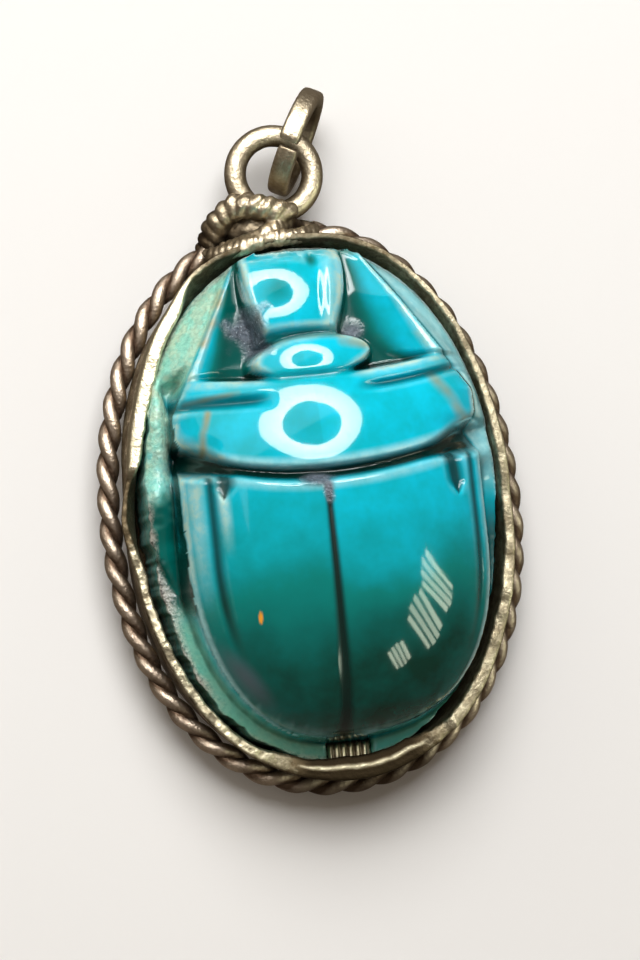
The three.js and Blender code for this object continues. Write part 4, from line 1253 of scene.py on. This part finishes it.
class StrandTree:
    """The Geometry Nodes tree that turns a path into a wire, wound round it or straight along it."""

    def __init__(self, name: str, material: bpy.types.Material) -> None:
        """Builds the tree with named inputs for its sizes."""
        tree = bpy.data.node_groups.new(name, "GeometryNodeTree")
        self.tree = tree
        face = tree.interface
        face.new_socket("Geometry", in_out="INPUT", socket_type="NodeSocketGeometry")
        sizes = {"Wire radius": 0.25 * MM, "Winding radius": 0.27 * MM, "Turns": 22.0, "Phase": 0.0,
                 "Roughness": 0.012 * MM}
        self.sockets = {}
        for label, value in sizes.items():
            socket = face.new_socket(label, in_out="INPUT", socket_type="NodeSocketFloat")
            socket.default_value = value
            self.sockets[label] = socket.identifier
        for label, value in {"Steps": 900, "Sides": 18}.items():
            socket = face.new_socket(label, in_out="INPUT", socket_type="NodeSocketInt")
            socket.default_value = value
            self.sockets[label] = socket.identifier
        face.new_socket("Geometry", in_out="OUTPUT", socket_type="NodeSocketGeometry")
        given = tree.nodes.new("NodeGroupInput").outputs
        resampled = add_node(tree, "GeometryNodeResampleCurve",
                             {"Curve": given["Geometry"], "Count": given["Steps"]})
        stored = add_node(tree, "GeometryNodeStoreNamedAttribute",
                          {"Geometry": resampled.outputs[0], "Name": "path_middle",
                           "Value": tree.nodes.new("GeometryNodeInputPosition").outputs[0]},
                          data_type="FLOAT_VECTOR", domain="POINT")
        along = add_node(tree, "GeometryNodeSplineParameter").outputs["Factor"]
        turned = add_node(tree, "ShaderNodeMath", {0: along, 1: given["Turns"]}, operation="MULTIPLY")
        angle = add_node(tree, "ShaderNodeMath", {0: turned.outputs[0], 1: math.tau, 2: given["Phase"]},
                         operation="MULTIPLY_ADD")
        tangent = add_node(tree, "GeometryNodeInputTangent").outputs[0]
        sideways = add_node(tree, "ShaderNodeVectorMath", {0: tangent, 1: (0, 0, 1)},
                            operation="CROSS_PRODUCT")
        outwards = add_node(tree, "ShaderNodeVectorMath", {0: sideways.outputs[0]}, operation="NORMALIZE")
        cosine = add_node(tree, "ShaderNodeMath", {0: angle.outputs[0]}, operation="COSINE")
        sine = add_node(tree, "ShaderNodeMath", {0: angle.outputs[0]}, operation="SINE")
        side_move = add_node(tree, "ShaderNodeVectorMath", {0: outwards.outputs[0], 3: cosine.outputs[0]},
                             operation="SCALE")
        lift = add_node(tree, "ShaderNodeCombineXYZ", {"Z": sine.outputs[0]})
        both = add_node(tree, "ShaderNodeVectorMath", {0: side_move.outputs[0], 1: lift.outputs[0]},
                        operation="ADD")
        scaled = add_node(tree, "ShaderNodeVectorMath", {0: both.outputs[0], 3: given["Winding radius"]},
                          operation="SCALE")
        wound = add_node(tree, "GeometryNodeSetPosition",
                         {"Geometry": stored.outputs[0], "Offset": scaled.outputs[0]})
        ring = add_node(tree, "GeometryNodeCurvePrimitiveCircle",
                        {"Resolution": given["Sides"], "Radius": given["Wire radius"]})
        swept = add_node(tree, "GeometryNodeCurveToMesh",
                         {"Curve": wound.outputs[0], "Profile Curve": ring.outputs[0], "Fill Caps": True})
        noise = add_node(tree, "ShaderNodeTexNoise", {"Scale": 1 / (0.6 * MM), "Detail": 3.0})
        centred = add_node(tree, "ShaderNodeMath", {0: noise.outputs[0], 1: 0.5}, operation="SUBTRACT")
        push = add_node(tree, "ShaderNodeMath", {0: centred.outputs[0], 1: given["Roughness"]},
                        operation="MULTIPLY")
        doubled = add_node(tree, "ShaderNodeMath", {0: push.outputs[0], 1: 4.0}, operation="MULTIPLY")
        normal = tree.nodes.new("GeometryNodeInputNormal").outputs[0]
        shove = add_node(tree, "ShaderNodeVectorMath", {0: normal, 3: doubled.outputs[0]},
                         operation="SCALE")
        rough = add_node(tree, "GeometryNodeSetPosition",
                         {"Geometry": swept.outputs[0], "Offset": shove.outputs[0]})
        real = add_node(tree, "GeometryNodeRealizeInstances", {"Geometry": rough.outputs[0]})
        finished = add_node(tree, "GeometryNodeSetMaterial",
                            {"Geometry": real.outputs[0], "Material": material})
        add_node(tree, "NodeGroupOutput", {0: finished.outputs[0]})

    def wire(self, name: str, path: np.ndarray, **sizes: float) -> bpy.types.Object:
        """Makes one wire along a path as a plain mesh.

        Args:
            name: The piece's name.
            path: Points in the setting's frame, in millimetres.
            sizes: Values for the tree's inputs, with spaces in their names as underscores.
        Returns:
            The object, with no modifier left on it.
        """
        curve = bpy.data.curves.new(name + "_path", "CURVE")
        curve.dimensions = "3D"
        spline = curve.splines.new("POLY")
        spline.points.add(len(path) - 1)
        placed = np.column_stack([path * MM + ORIGIN, np.ones(len(path))])
        spline.points.foreach_set("co", placed.ravel())
        guide = bpy.data.objects.new(name + "_guide", curve)
        bpy.context.scene.collection.objects.link(guide)
        modifier = guide.modifiers.new("strand", "NODES")
        modifier.node_group = self.tree
        for label, value in sizes.items():
            modifier[self.sockets[label.replace("_", " ").capitalize()]] = value
        bpy.context.view_layer.update()
        evaluated = guide.evaluated_get(bpy.context.evaluated_depsgraph_get())
        mesh = bpy.data.meshes.new_from_object(evaluated)
        mesh.name = name
        guide.modifiers.remove(modifier)
        bpy.data.objects.remove(guide)
        bpy.data.curves.remove(curve)
        outward(mesh)
        mesh.shade_smooth()
        made = bpy.data.objects.new(name, mesh)
        bpy.context.scene.collection.objects.link(made)
        return made


def smooth_path(knots: list[tuple[float, float, float]], steps: int = 60) -> np.ndarray:
    """A rounded line through given places, in the setting's frame.

    Args:
        knots: The places, in millimetres.
        steps: How many points each stretch between two places gets.
    Returns:
        The line's points.
    """
    places = np.array([knots[0], *knots, knots[-1]], float)
    line = []
    for a, b, c, d in zip(places, places[1:], places[2:], places[3:]):
        for share in np.linspace(0, 1, steps, endpoint=False):
            square, cube = share ** 2, share ** 3
            line.append(0.5 * (2 * b + (c - a) * share + (2 * a - 5 * b + 4 * c - d) * square
                               + (3 * b - a - 3 * c + d) * cube))
    return np.array([*line, places[-1]])


@dataclass
class RopeBorder:
    """Two silver wires twisted into a rope and laid round the collar's foot."""

    lay: float = 2.35
    bare_left: float = 2.45
    bare_right: float = 1.05
    plump: float = 1.22
    tightness: float = 0.66
    stand_off: float = 0.31
    stand_off_at: float = math.radians(140)
    stand_off_reach: float = math.radians(75)

    @property
    def radius(self) -> float:
        """The radius of the winding: half a wire and half the gap between two."""
        return ROPE_WIRE / 2 + WIRE_GAP / 2

    def middle(self) -> np.ndarray:
        """The rope's middle line from its left end round the tail to its right end."""
        oval = collar_oval(ROPE_LEVEL)
        angle = np.linspace(0, 2 * math.pi, 720) + math.pi / 2
        x, y = oval.point(angle)
        ahead_x, ahead_y = np.gradient(x), np.gradient(y)
        length = np.hypot(ahead_x, ahead_y)
        out = self.radius + ROPE_WIRE / 2 + WIRE_GAP + self.stand_off * swell(
            angle - self.stand_off_at, self.stand_off_reach)
        x, y = x + ahead_y / length * out, y - ahead_x / length * out
        travelled = np.concatenate([[0], np.cumsum(np.hypot(np.diff(x), np.diff(y)))])
        wanted = np.linspace(self.bare_left, travelled[-1] - self.bare_right, 700)
        return np.column_stack([np.interp(wanted, travelled, x), np.interp(wanted, travelled, y),
                                np.full(len(wanted), ROPE_LEVEL)])

    def build(self, silver: bpy.types.Material) -> list[bpy.types.Object]:
        """Makes both strands and marks where they rub."""
        path = self.middle()
        length = float(np.hypot(*np.diff(path[:, :2], axis=0).T).sum())
        turns = round(length / self.lay)
        tree = StrandTree("wound_wire", silver)
        strands = []
        for number, phase in enumerate((0.0, math.pi), start=1):
            strand = tree.wire(f"twisted_wire_{number}", path, turns=float(turns), phase=phase,
                               wire_radius=self.plump * ROPE_WIRE / 2 * MM,
                               winding_radius=self.tightness * self.radius * MM)
            rub(strand, self.tightness * self.radius + self.plump * ROPE_WIRE / 2)
            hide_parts(f"rope_strand_{number}")
            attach(strand, Body.ROOT.value)
            strands.append(strand)
        return strands


def rub(wire: bpy.types.Object, reach: float) -> None:
    """Marks a wire as worn where it stands out from its path and dark where it lies in.

    Args:
        wire: A wire made by a StrandTree.
        reach: How far its surface stands from the path at most, in millimetres.
    """
    mesh = wire.data
    points = points_of(mesh)
    flat = np.empty(len(mesh.vertices) * 3)
    mesh.attributes["path_middle"].data.foreach_get("vector", flat)
    middle = (flat.reshape(-1, 3) - ORIGIN) / MM
    out = np.linalg.norm(points - middle, axis=1) / reach
    patch = Grain(61, 0.8).at(*points.T)
    degrees = collar_oval(ROPE_LEVEL).degrees_at(points[:, 0], points[:, 1])
    grimy = zone(degrees, 252, 300, 16) + 0.5 * zone(degrees, 318, 430, 20)
    write_marks(mesh, {"worn": smooth(out, 0.62, 1.0) * (0.9 + 0.3 * patch) - 0.4 * grimy,
                       "soot_and_shade": np.maximum((1 - smooth(out, 0.35, 0.8)) * 0.95, 0.6 * grimy)})
    mesh.attributes.remove(mesh.attributes["path_middle"])


@dataclass
class RingFoot:
    """The curled wire ends and the solder that hold the soldered ring to the collar."""

    wire: float = 0.62
    voxel: float = 0.045

    @property
    def top(self) -> float:
        """Where the rope passes at the head, along the setting."""
        return collar_oval(ROPE_LEVEL).half_length + 2 * (ROPE_WIRE / 2 + WIRE_GAP)

    def paths(self) -> list[tuple[list[tuple[float, float, float]], float, float]]:
        """The wire ends as listed places with their radii and turns of twist, from the rope's end on."""
        top = self.top
        return [
            ([(-2.6, top - 0.45, 1.6), (-2.25, top + 0.35, 2.1), (-1.55, top + 0.92, 2.5),
              (-0.5, top + 0.72, 2.75),
              (0.35, top + 0.4, 2.4)], 0.27, 5.0),
            ([(0.5, top + 0.35, 2.0), (-0.2, top + 0.02, 2.7), (-1.1, top - 0.42, 2.9),
              (-2.1, top - 0.65, 2.5)],
             0.2, 6.0),
            ([(-2.75, top - 0.75, 2.4), (-1.6, top - 0.62, 3.0), (-0.4, top - 0.42, 3.05),
              (0.6, top - 0.35, 2.9),
              (1.25, top - 0.2, 2.3)], 0.17, 9.0),
            ([(-2.35, top - 0.35, 1.4), (-1.6, top + 0.2, 1.3), (-0.6, top + 0.45, 1.4),
              (0.6, top + 0.2, 1.5),
              (1.3, top - 0.02, 1.6)], 0.26, 0.0),
        ]

    def build(self, silver: bpy.types.Material) -> bpy.types.Object:
        """Fuses the wires and the solder into one lumpy piece."""
        tree = StrandTree("straight_wire", silver)
        parts = []
        for number, (knots, radius, turns) in enumerate(self.paths()):
            for phase in (0.0, math.pi) if turns else (0.0,):
                parts.append(tree.wire(f"foot_wire_{number}", smooth_path(knots), turns=turns,
                                       phase=phase,
                                       winding_radius=0.8 * radius * MM * (turns > 0),
                                       wire_radius=radius * MM,
                                       steps=160, sides=16))
        middle = node_middle("ring_foot")
        blob = bmesh.new()
        bmesh.ops.create_icosphere(blob, subdivisions=5, radius=1.0)
        mesh = bpy.data.meshes.new("solder")
        blob.to_mesh(mesh)
        blob.free()
        shape = Matrix.Diagonal((1.5 * MM, 0.62 * MM, 0.85 * MM, 1.0))
        place = Matrix.Translation(Vector(np.array([-0.6, self.top + 0.1, 1.75]) * MM + ORIGIN))
        mesh.transform(place @ shape)
        solder = bpy.data.objects.new("solder", mesh)
        bpy.context.scene.collection.objects.link(solder)
        piece = fuse("ring_foot_solder", [*parts, solder], self.voxel * MM)
        points = points_of(piece.data)
        lumps = 0.05 * Grain(71, 0.42).at(*points.T) + 0.025 * Grain(72, 0.2).at(*points.T)
        normals = np.empty(len(points) * 3)
        piece.data.vertices.foreach_get("normal", normals)
        moved = points + normals.reshape(-1, 3) * lumps[:, None]
        piece.data.vertices.foreach_set("co", (moved * MM + ORIGIN).ravel())
        high = smooth(moved[:, 2], middle[2] + 0.3, middle[2] + 1.5)
        write_marks(piece.data, {"worn": 0.25 + 0.6 * high + 4 * lumps, "soot_and_shade": 0.7 - high - 6 * lumps})
        piece.data.materials.clear()
        piece.data.materials.append(silver)
        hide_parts("ring_foot")
        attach(piece, Body.ROOT.value)
        return piece


def fuse(name: str, parts: list[bpy.types.Object], voxel: float) -> bpy.types.Object:
    """Joins closed parts that run into each other into one skin.

    Args:
        name: The new piece's name.
        parts: The parts, which are used up.
        voxel: The fineness of the skin, in metres.
    Returns:
        The fused piece.
    """
    joined = bmesh.new()
    for part in parts:
        joined.from_mesh(part.data)
    mesh = bpy.data.meshes.new(name)
    joined.to_mesh(mesh)
    joined.free()
    for part in parts:
        bpy.data.objects.remove(part)
    piece = bpy.data.objects.new(name, mesh)
    bpy.context.scene.collection.objects.link(piece)
    remesh = piece.modifiers.new("skin", "REMESH")
    remesh.mode = "VOXEL"
    remesh.voxel_size = voxel
    relax = piece.modifiers.new("relax", "SMOOTH")
    relax.factor, relax.iterations = 0.5, 2
    bpy.context.view_layer.update()
    skin = bpy.data.meshes.new_from_object(piece.evaluated_get(bpy.context.evaluated_depsgraph_get()))
    piece.modifiers.clear()
    piece.data = skin
    skin.name = name
    skin.shade_smooth()
    return piece


# The rings.


@dataclass
class SolderedRing:
    """The closed ring of round wire at the head."""

    diameter: float = 3.54
    wire: float = 0.78
    around: int = 220
    section: int = 48

    def build(self, silver: bpy.types.Material) -> bpy.types.Object:
        """Makes the ring, a little flattened on top where it was filed."""
        middle = node_middle("bail_ring")
        turn, side = np.meshgrid(np.linspace(0, math.tau, self.around, endpoint=False),
                                 np.linspace(0, math.tau, self.section, endpoint=False), indexing="ij")
        radius = (self.diameter - self.wire) / 2
        wear = 1 + 0.03 * Grain(81, 0.9).at(3 * np.cos(turn), 3 * np.sin(turn), side)
        wire = self.wire / 2 * np.minimum(wear, 1.0)
        reach = radius + wire * np.cos(side)
        high = np.sin(side)
        flat = np.where(high > 0, high * (1 - 0.12 * high), high)
        points = np.column_stack([(middle[0] + reach * np.cos(turn)).ravel(),
                                  (middle[1] + reach * np.sin(turn)).ravel(),
                                  (middle[2] + wire * flat).ravel()])
        faces = grid_faces(self.around, self.section, close_rows=True, close_columns=True)
        # Brighter on the top of the wire and darker on its inside and underside: partly wear and tarnish,
        # partly a painted highlight and painted shade.
        upper = smooth(high.ravel(), -0.2, 0.9)
        inner = smooth(-np.cos(side).ravel(), 0.2, 0.9)
        marks = {"worn": np.clip(0.15 + 0.75 * upper - 0.4 * inner + 0.2 * Grain(82, 0.5).at(*points.T),
                                 0, 1),
                 "soot_and_shade": np.clip(0.55 * inner * (1 - upper) + 0.25 * (1 - upper), 0, 1)}
        piece = make_object("soldered_ring", points, faces, silver, marks)
        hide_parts("bail_ring")
        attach(piece, Body.ROOT.value)
        return piece


@dataclass
class OpenRing:
    """The cut ring of flattened wire that hangs in the soldered one, its ends not quite in line."""

    diameter: float = 3.95
    width: float = 0.74
    thickness: float = 0.54
    seam_gap: float = 0.22
    turn: float = math.radians(28)
    lean: float = math.radians(-10)
    seam_angle: float = math.radians(107)
    end_offset: float = 0.1
    steps: int = 240

    def section(self) -> np.ndarray:
        """The wire's section: a rectangle with well rounded corners, (out, along) in millimetres."""
        angle = np.linspace(0, math.tau, 44, endpoint=False)
        power = 2 / 4.2
        out = np.sign(np.cos(angle)) * np.abs(np.cos(angle)) ** power * self.thickness / 2
        along = np.sign(np.sin(angle)) * np.abs(np.sin(angle)) ** power * self.width / 2
        return np.column_stack([out, along])

    def build(self, silver: bpy.types.Material) -> bpy.types.Object:
        """Makes the ring with its two cut ends."""
        middle = node_middle("jump_ring")
        radius = (self.diameter - self.thickness) / 2
        opening = self.seam_gap / radius
        section = self.section()
        share = np.linspace(0, 1, self.steps)
        angle = self.seam_angle + opening / 2 + share * (math.tau - opening)
        aside = self.end_offset * (share - 0.5)
        near_end = np.maximum(smooth(share, 0.985, 1.0), 1 - smooth(share, 0.0, 0.015))
        rows = []
        for a, shift, end in zip(angle, aside, near_end):
            size = 1 - 0.1 * end
            reach = radius + section[:, 0] * size - 0.5 * shift * end
            rows.append(np.column_stack([reach * math.cos(a), section[:, 1] * size + shift,
                                         reach * math.sin(a)]))
        points = np.concatenate(rows)
        raw = points.copy()
        tilt = Matrix.Rotation(math.pi / 2 - self.turn, 3, "Z") @ Matrix.Rotation(self.lean, 3, "X")
        points = points @ np.array(tilt).T + middle
        count = len(section)
        faces = grid_faces(self.steps, count, close_columns=True)
        faces += [tuple(range(count)), tuple(reversed(range((self.steps - 1) * count,
                                                            self.steps * count)))]
        streak = Grain(91, 0.12).at(raw[:, 1], np.zeros(len(raw)), np.tile(section[:, 0], self.steps))
        # Brighter on the outer face and the upper half, darker on the inner face: partly wear and tarnish,
        # partly a painted highlight and painted shade.
        outer = smooth(np.tile(section[:, 0], self.steps), 0.0, self.thickness / 2)
        upper = np.repeat(share > 0.5, count)
        marks = {"worn": np.clip(0.25 + 0.5 * outer + 0.3 * upper + 0.25 * streak, 0, 1),
                 "soot_and_shade": np.clip(0.45 * (1 - outer) - 0.2 * upper + 0.25 * np.maximum(-streak, 0), 0, 1)}
        piece = make_object("open_ring", points, faces, silver, marks)
        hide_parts("jump_ring")
        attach(piece, Body.ROOT.value)
        return piece


# The studio.


@dataclass(frozen=True)
class Studio:
    """The pale floor, the lights and the camera, none of them part of the object."""

    distance: float = 130.0
    aim_level: float = 3.0
    tilt_x: float = math.radians(8)
    tilt_y: float = math.radians(3)
    roll: float = math.radians(6.3)
    pixels_per_mm: float = 28.5
    image_height: int = 960
    image_width: int = 640
    aim_pixel: tuple[float, float] = (313.7, 504.0)
    ring_radius: float = 54.0
    ring_band: float = 28.0
    ring_distance: float = 170.0
    window_distance: float = 200.0
    slats: int = 4

    def axes(self) -> tuple[Vector, Vector, Vector]:
        """The camera's right, up and back directions."""
        back = Vector((-math.sin(self.tilt_x), -math.sin(self.tilt_y), 0))
        back.z = math.sqrt(1 - back.x ** 2 - back.y ** 2)
        up = Vector((math.sin(self.roll), math.cos(self.roll), 0))
        up = (up - up.dot(back) * back).normalized()
        return up.cross(back), up, back

    def camera(self) -> None:
        """Looks down on the lying amulet at the photograph's angle."""
        right, up, back = self.axes()
        data = bpy.data.cameras.new("studio_camera")
        data.sensor_fit = "VERTICAL"
        data.sensor_height = 36.0
        data.lens = self.pixels_per_mm * self.distance / self.image_height * data.sensor_height
        data.shift_x = (self.image_width / 2 - self.aim_pixel[0]) / self.image_height
        data.shift_y = (self.aim_pixel[1] - self.image_height / 2) / self.image_height
        data.clip_start, data.clip_end = 0.005, 5.0
        data.dof.use_dof = False
        camera = bpy.data.objects.new("studio_camera", data)
        eye = Vector(ORIGIN) + (Vector((0, 0, self.aim_level)) + back * self.distance) * MM
        turn = Matrix((right, up, back)).transposed().to_4x4()
        camera.matrix_world = Matrix.Translation(eye) @ turn
        bpy.context.scene.collection.objects.link(camera)
        bpy.context.scene.camera = camera

    def floor(self) -> None:
        """A wide pale sheet under the amulet."""
        material = bpy.data.materials.new("white_card")
        material.use_nodes = True
        shader = material.node_tree.nodes["Principled BSDF"]
        shader.inputs["Base Color"].default_value = linear("#efeeec")
        shader.inputs["Roughness"].default_value = 0.8
        half = 0.6
        mesh = bpy.data.meshes.new("floor")
        mesh.from_pydata([(-half, -half, 0), (half, -half, 0), (half, half, 0), (-half, half, 0)], [],
                         [(0, 1, 2, 3)])
        mesh.materials.append(material)
        floor = bpy.data.objects.new("floor", mesh)
        floor.visible_glossy = False
        bpy.context.scene.collection.objects.link(floor)

    def lamp(self, name: str, towards: Vector, distance: float, size: float, watts: float,
             colour: str = "#ffffff", height: float | None = None) -> bpy.types.Object:
        """Adds a soft panel that shines on the amulet.

        Args:
            name: The lamp's name.
            towards: The direction from the amulet to the lamp.
            distance: How far away it stands, in millimetres.
            size: Its width, in millimetres.
            watts: Its power.
            colour: Its colour, in sRGB.
            height: Its height, or None for a disc.
        Returns:
            The lamp.
        """
        data = bpy.data.lights.new(name, "AREA")
        data.shape = "DISK" if height is None else "RECTANGLE"
        data.size = size * MM
        if height is not None:
            data.size_y = height * MM
        data.energy = watts
        data.color = linear(colour)[:3]
        lamp = bpy.data.objects.new(name, data)
        direction = towards.normalized()
        lamp.matrix_world = (Matrix.Translation(Vector(ORIGIN) + direction * distance * MM)
                             @ direction.to_track_quat("Z", "Y").to_matrix().to_4x4())
        bpy.context.scene.collection.objects.link(lamp)
        return lamp

    def ring_light(self, towards: Vector, watts: float, pieces: int = 60) -> None:
        """A ring of soft panels, as round a product table's opening.

        Args:
            towards: The direction from the amulet to the ring's middle.
            watts: The power of the whole ring.
            pieces: How many panels it has.
        """
        direction = towards.normalized()
        side = direction.orthogonal().normalized()
        other = direction.cross(side)
        for i in range(pieces):
            angle = math.tau * i / pieces
            out = side * math.cos(angle) + other * math.sin(angle)
            spot = direction * self.ring_distance + out * self.ring_radius
            width = math.tau * (self.ring_radius + self.ring_band / 4) / pieces
            panel = self.lamp(f"ring_panel_{i + 1}", spot, spot.length, width, watts / pieces, "#ffffff",
                              self.ring_band)
            panel.visible_diffuse = False
            back = spot.normalized()
            tangent = (other * math.cos(angle) - side * math.sin(angle)).normalized()
            turn = Matrix((tangent, back.cross(tangent), back)).transposed().to_4x4()
            panel.matrix_world = Matrix.Translation(panel.matrix_world.translation) @ turn

    def window(self, name: str, start: tuple[float, float, float], end: tuple[float, float, float],
               width: float,
               watts: float) -> None:
        """Hangs a far window pane with slats, which only glossy surfaces show.

        Args:
            name: The pane's name.
            start: The direction from the amulet to one end of its slats.
            end: The direction to their other end.
            width: Its width across the slats, in millimetres.
            watts: The power of each slat.
        """
        first, last = (Vector(place).normalized() * self.window_distance for place in (start, end))
        ahead = (last - first).normalized()
        back = (first + last).normalized()
        aside = back.cross(ahead).normalized()
        pitch = width / self.slats
        for i in range(self.slats):
            spot = (first + last) / 2 + aside * (i - (self.slats - 1) / 2) * pitch
            reach = (last - first).length * (1 - 0.12 * abs(i - (self.slats - 1) / 2))
            slat = self.lamp(f"{name}_slat_{i + 1}", spot, spot.length, 0.62 * pitch, watts, "#f2fade",
                             reach)
            slat.visible_diffuse = False
            turn = Matrix((aside, ahead, back)).transposed().to_4x4()
            slat.matrix_world = Matrix.Translation(slat.matrix_world.translation) @ turn

    def build(self) -> None:
        """Sets up floor, lights, surroundings and camera."""
        self.floor()
        self.camera()
        towards = Vector((0.0, 0.54, 0.84))
        self.ring_light(towards, 0.5)
        self.lamp("key_softbox", towards, 200, 150, 0.4, "#ffffff").visible_glossy = False
        self.lamp("head_softbox", Vector((-0.6, 0.9, 0.8)), 320, 460, 0.36, "#fffaf0", 300)
        self.window("right_pane", (0.675, -0.095, 0.731), (0.884, -0.253, 0.392), 30, 0.011)
        self.window("middle_pane", (0.586, -0.234, 0.775), (0.769, -0.469, 0.434), 42, 0.015)
        self.window("left_pane", (0.45, -0.472, 0.758), (0.527, -0.618, 0.584), 28, 0.006)
        world = bpy.data.worlds.new("studio")
        world.use_nodes = True
        world.node_tree.nodes["Background"].inputs["Color"].default_value = linear("#e9d6c2")
        world.node_tree.nodes["Background"].inputs["Strength"].default_value = 0.2
        bpy.context.scene.world = world
        bpy.context.scene.view_settings.view_transform = "Standard"


def main() -> None:
    """Builds every piece and the studio, and reports each piece."""
    logging.basicConfig(level=logging.INFO, format="%(name)s: %(message)s")
    glaze = CopperGlaze().material()
    collar_silver = OldSilver("tarnished_silver_strip", "#e8dfc0", "#6f614a", "#1d140b").material()
    rope_silver = OldSilver("tarnished_silver_wire", "#e4d3be", "#74604f", "#1a100a").material()
    ring_silver = OldSilver("rubbed_silver_wire", "#cfc2a8", "#7a6a52", "#2a2018").material()
    pieces = [Scarab().build(glaze), Collar().build(collar_silver)]
    pieces += RopeBorder().build(rope_silver)
    pieces += [RingFoot().build(ring_silver), SolderedRing().build(ring_silver),
               OpenRing().build(ring_silver)]
    for piece in pieces:
        piece.data.calc_loop_triangles()
        LOG.info("%s: %d triangles", piece.name, len(piece.data.loop_triangles))
    Studio().build()


if __name__ == "__main__":
    main()
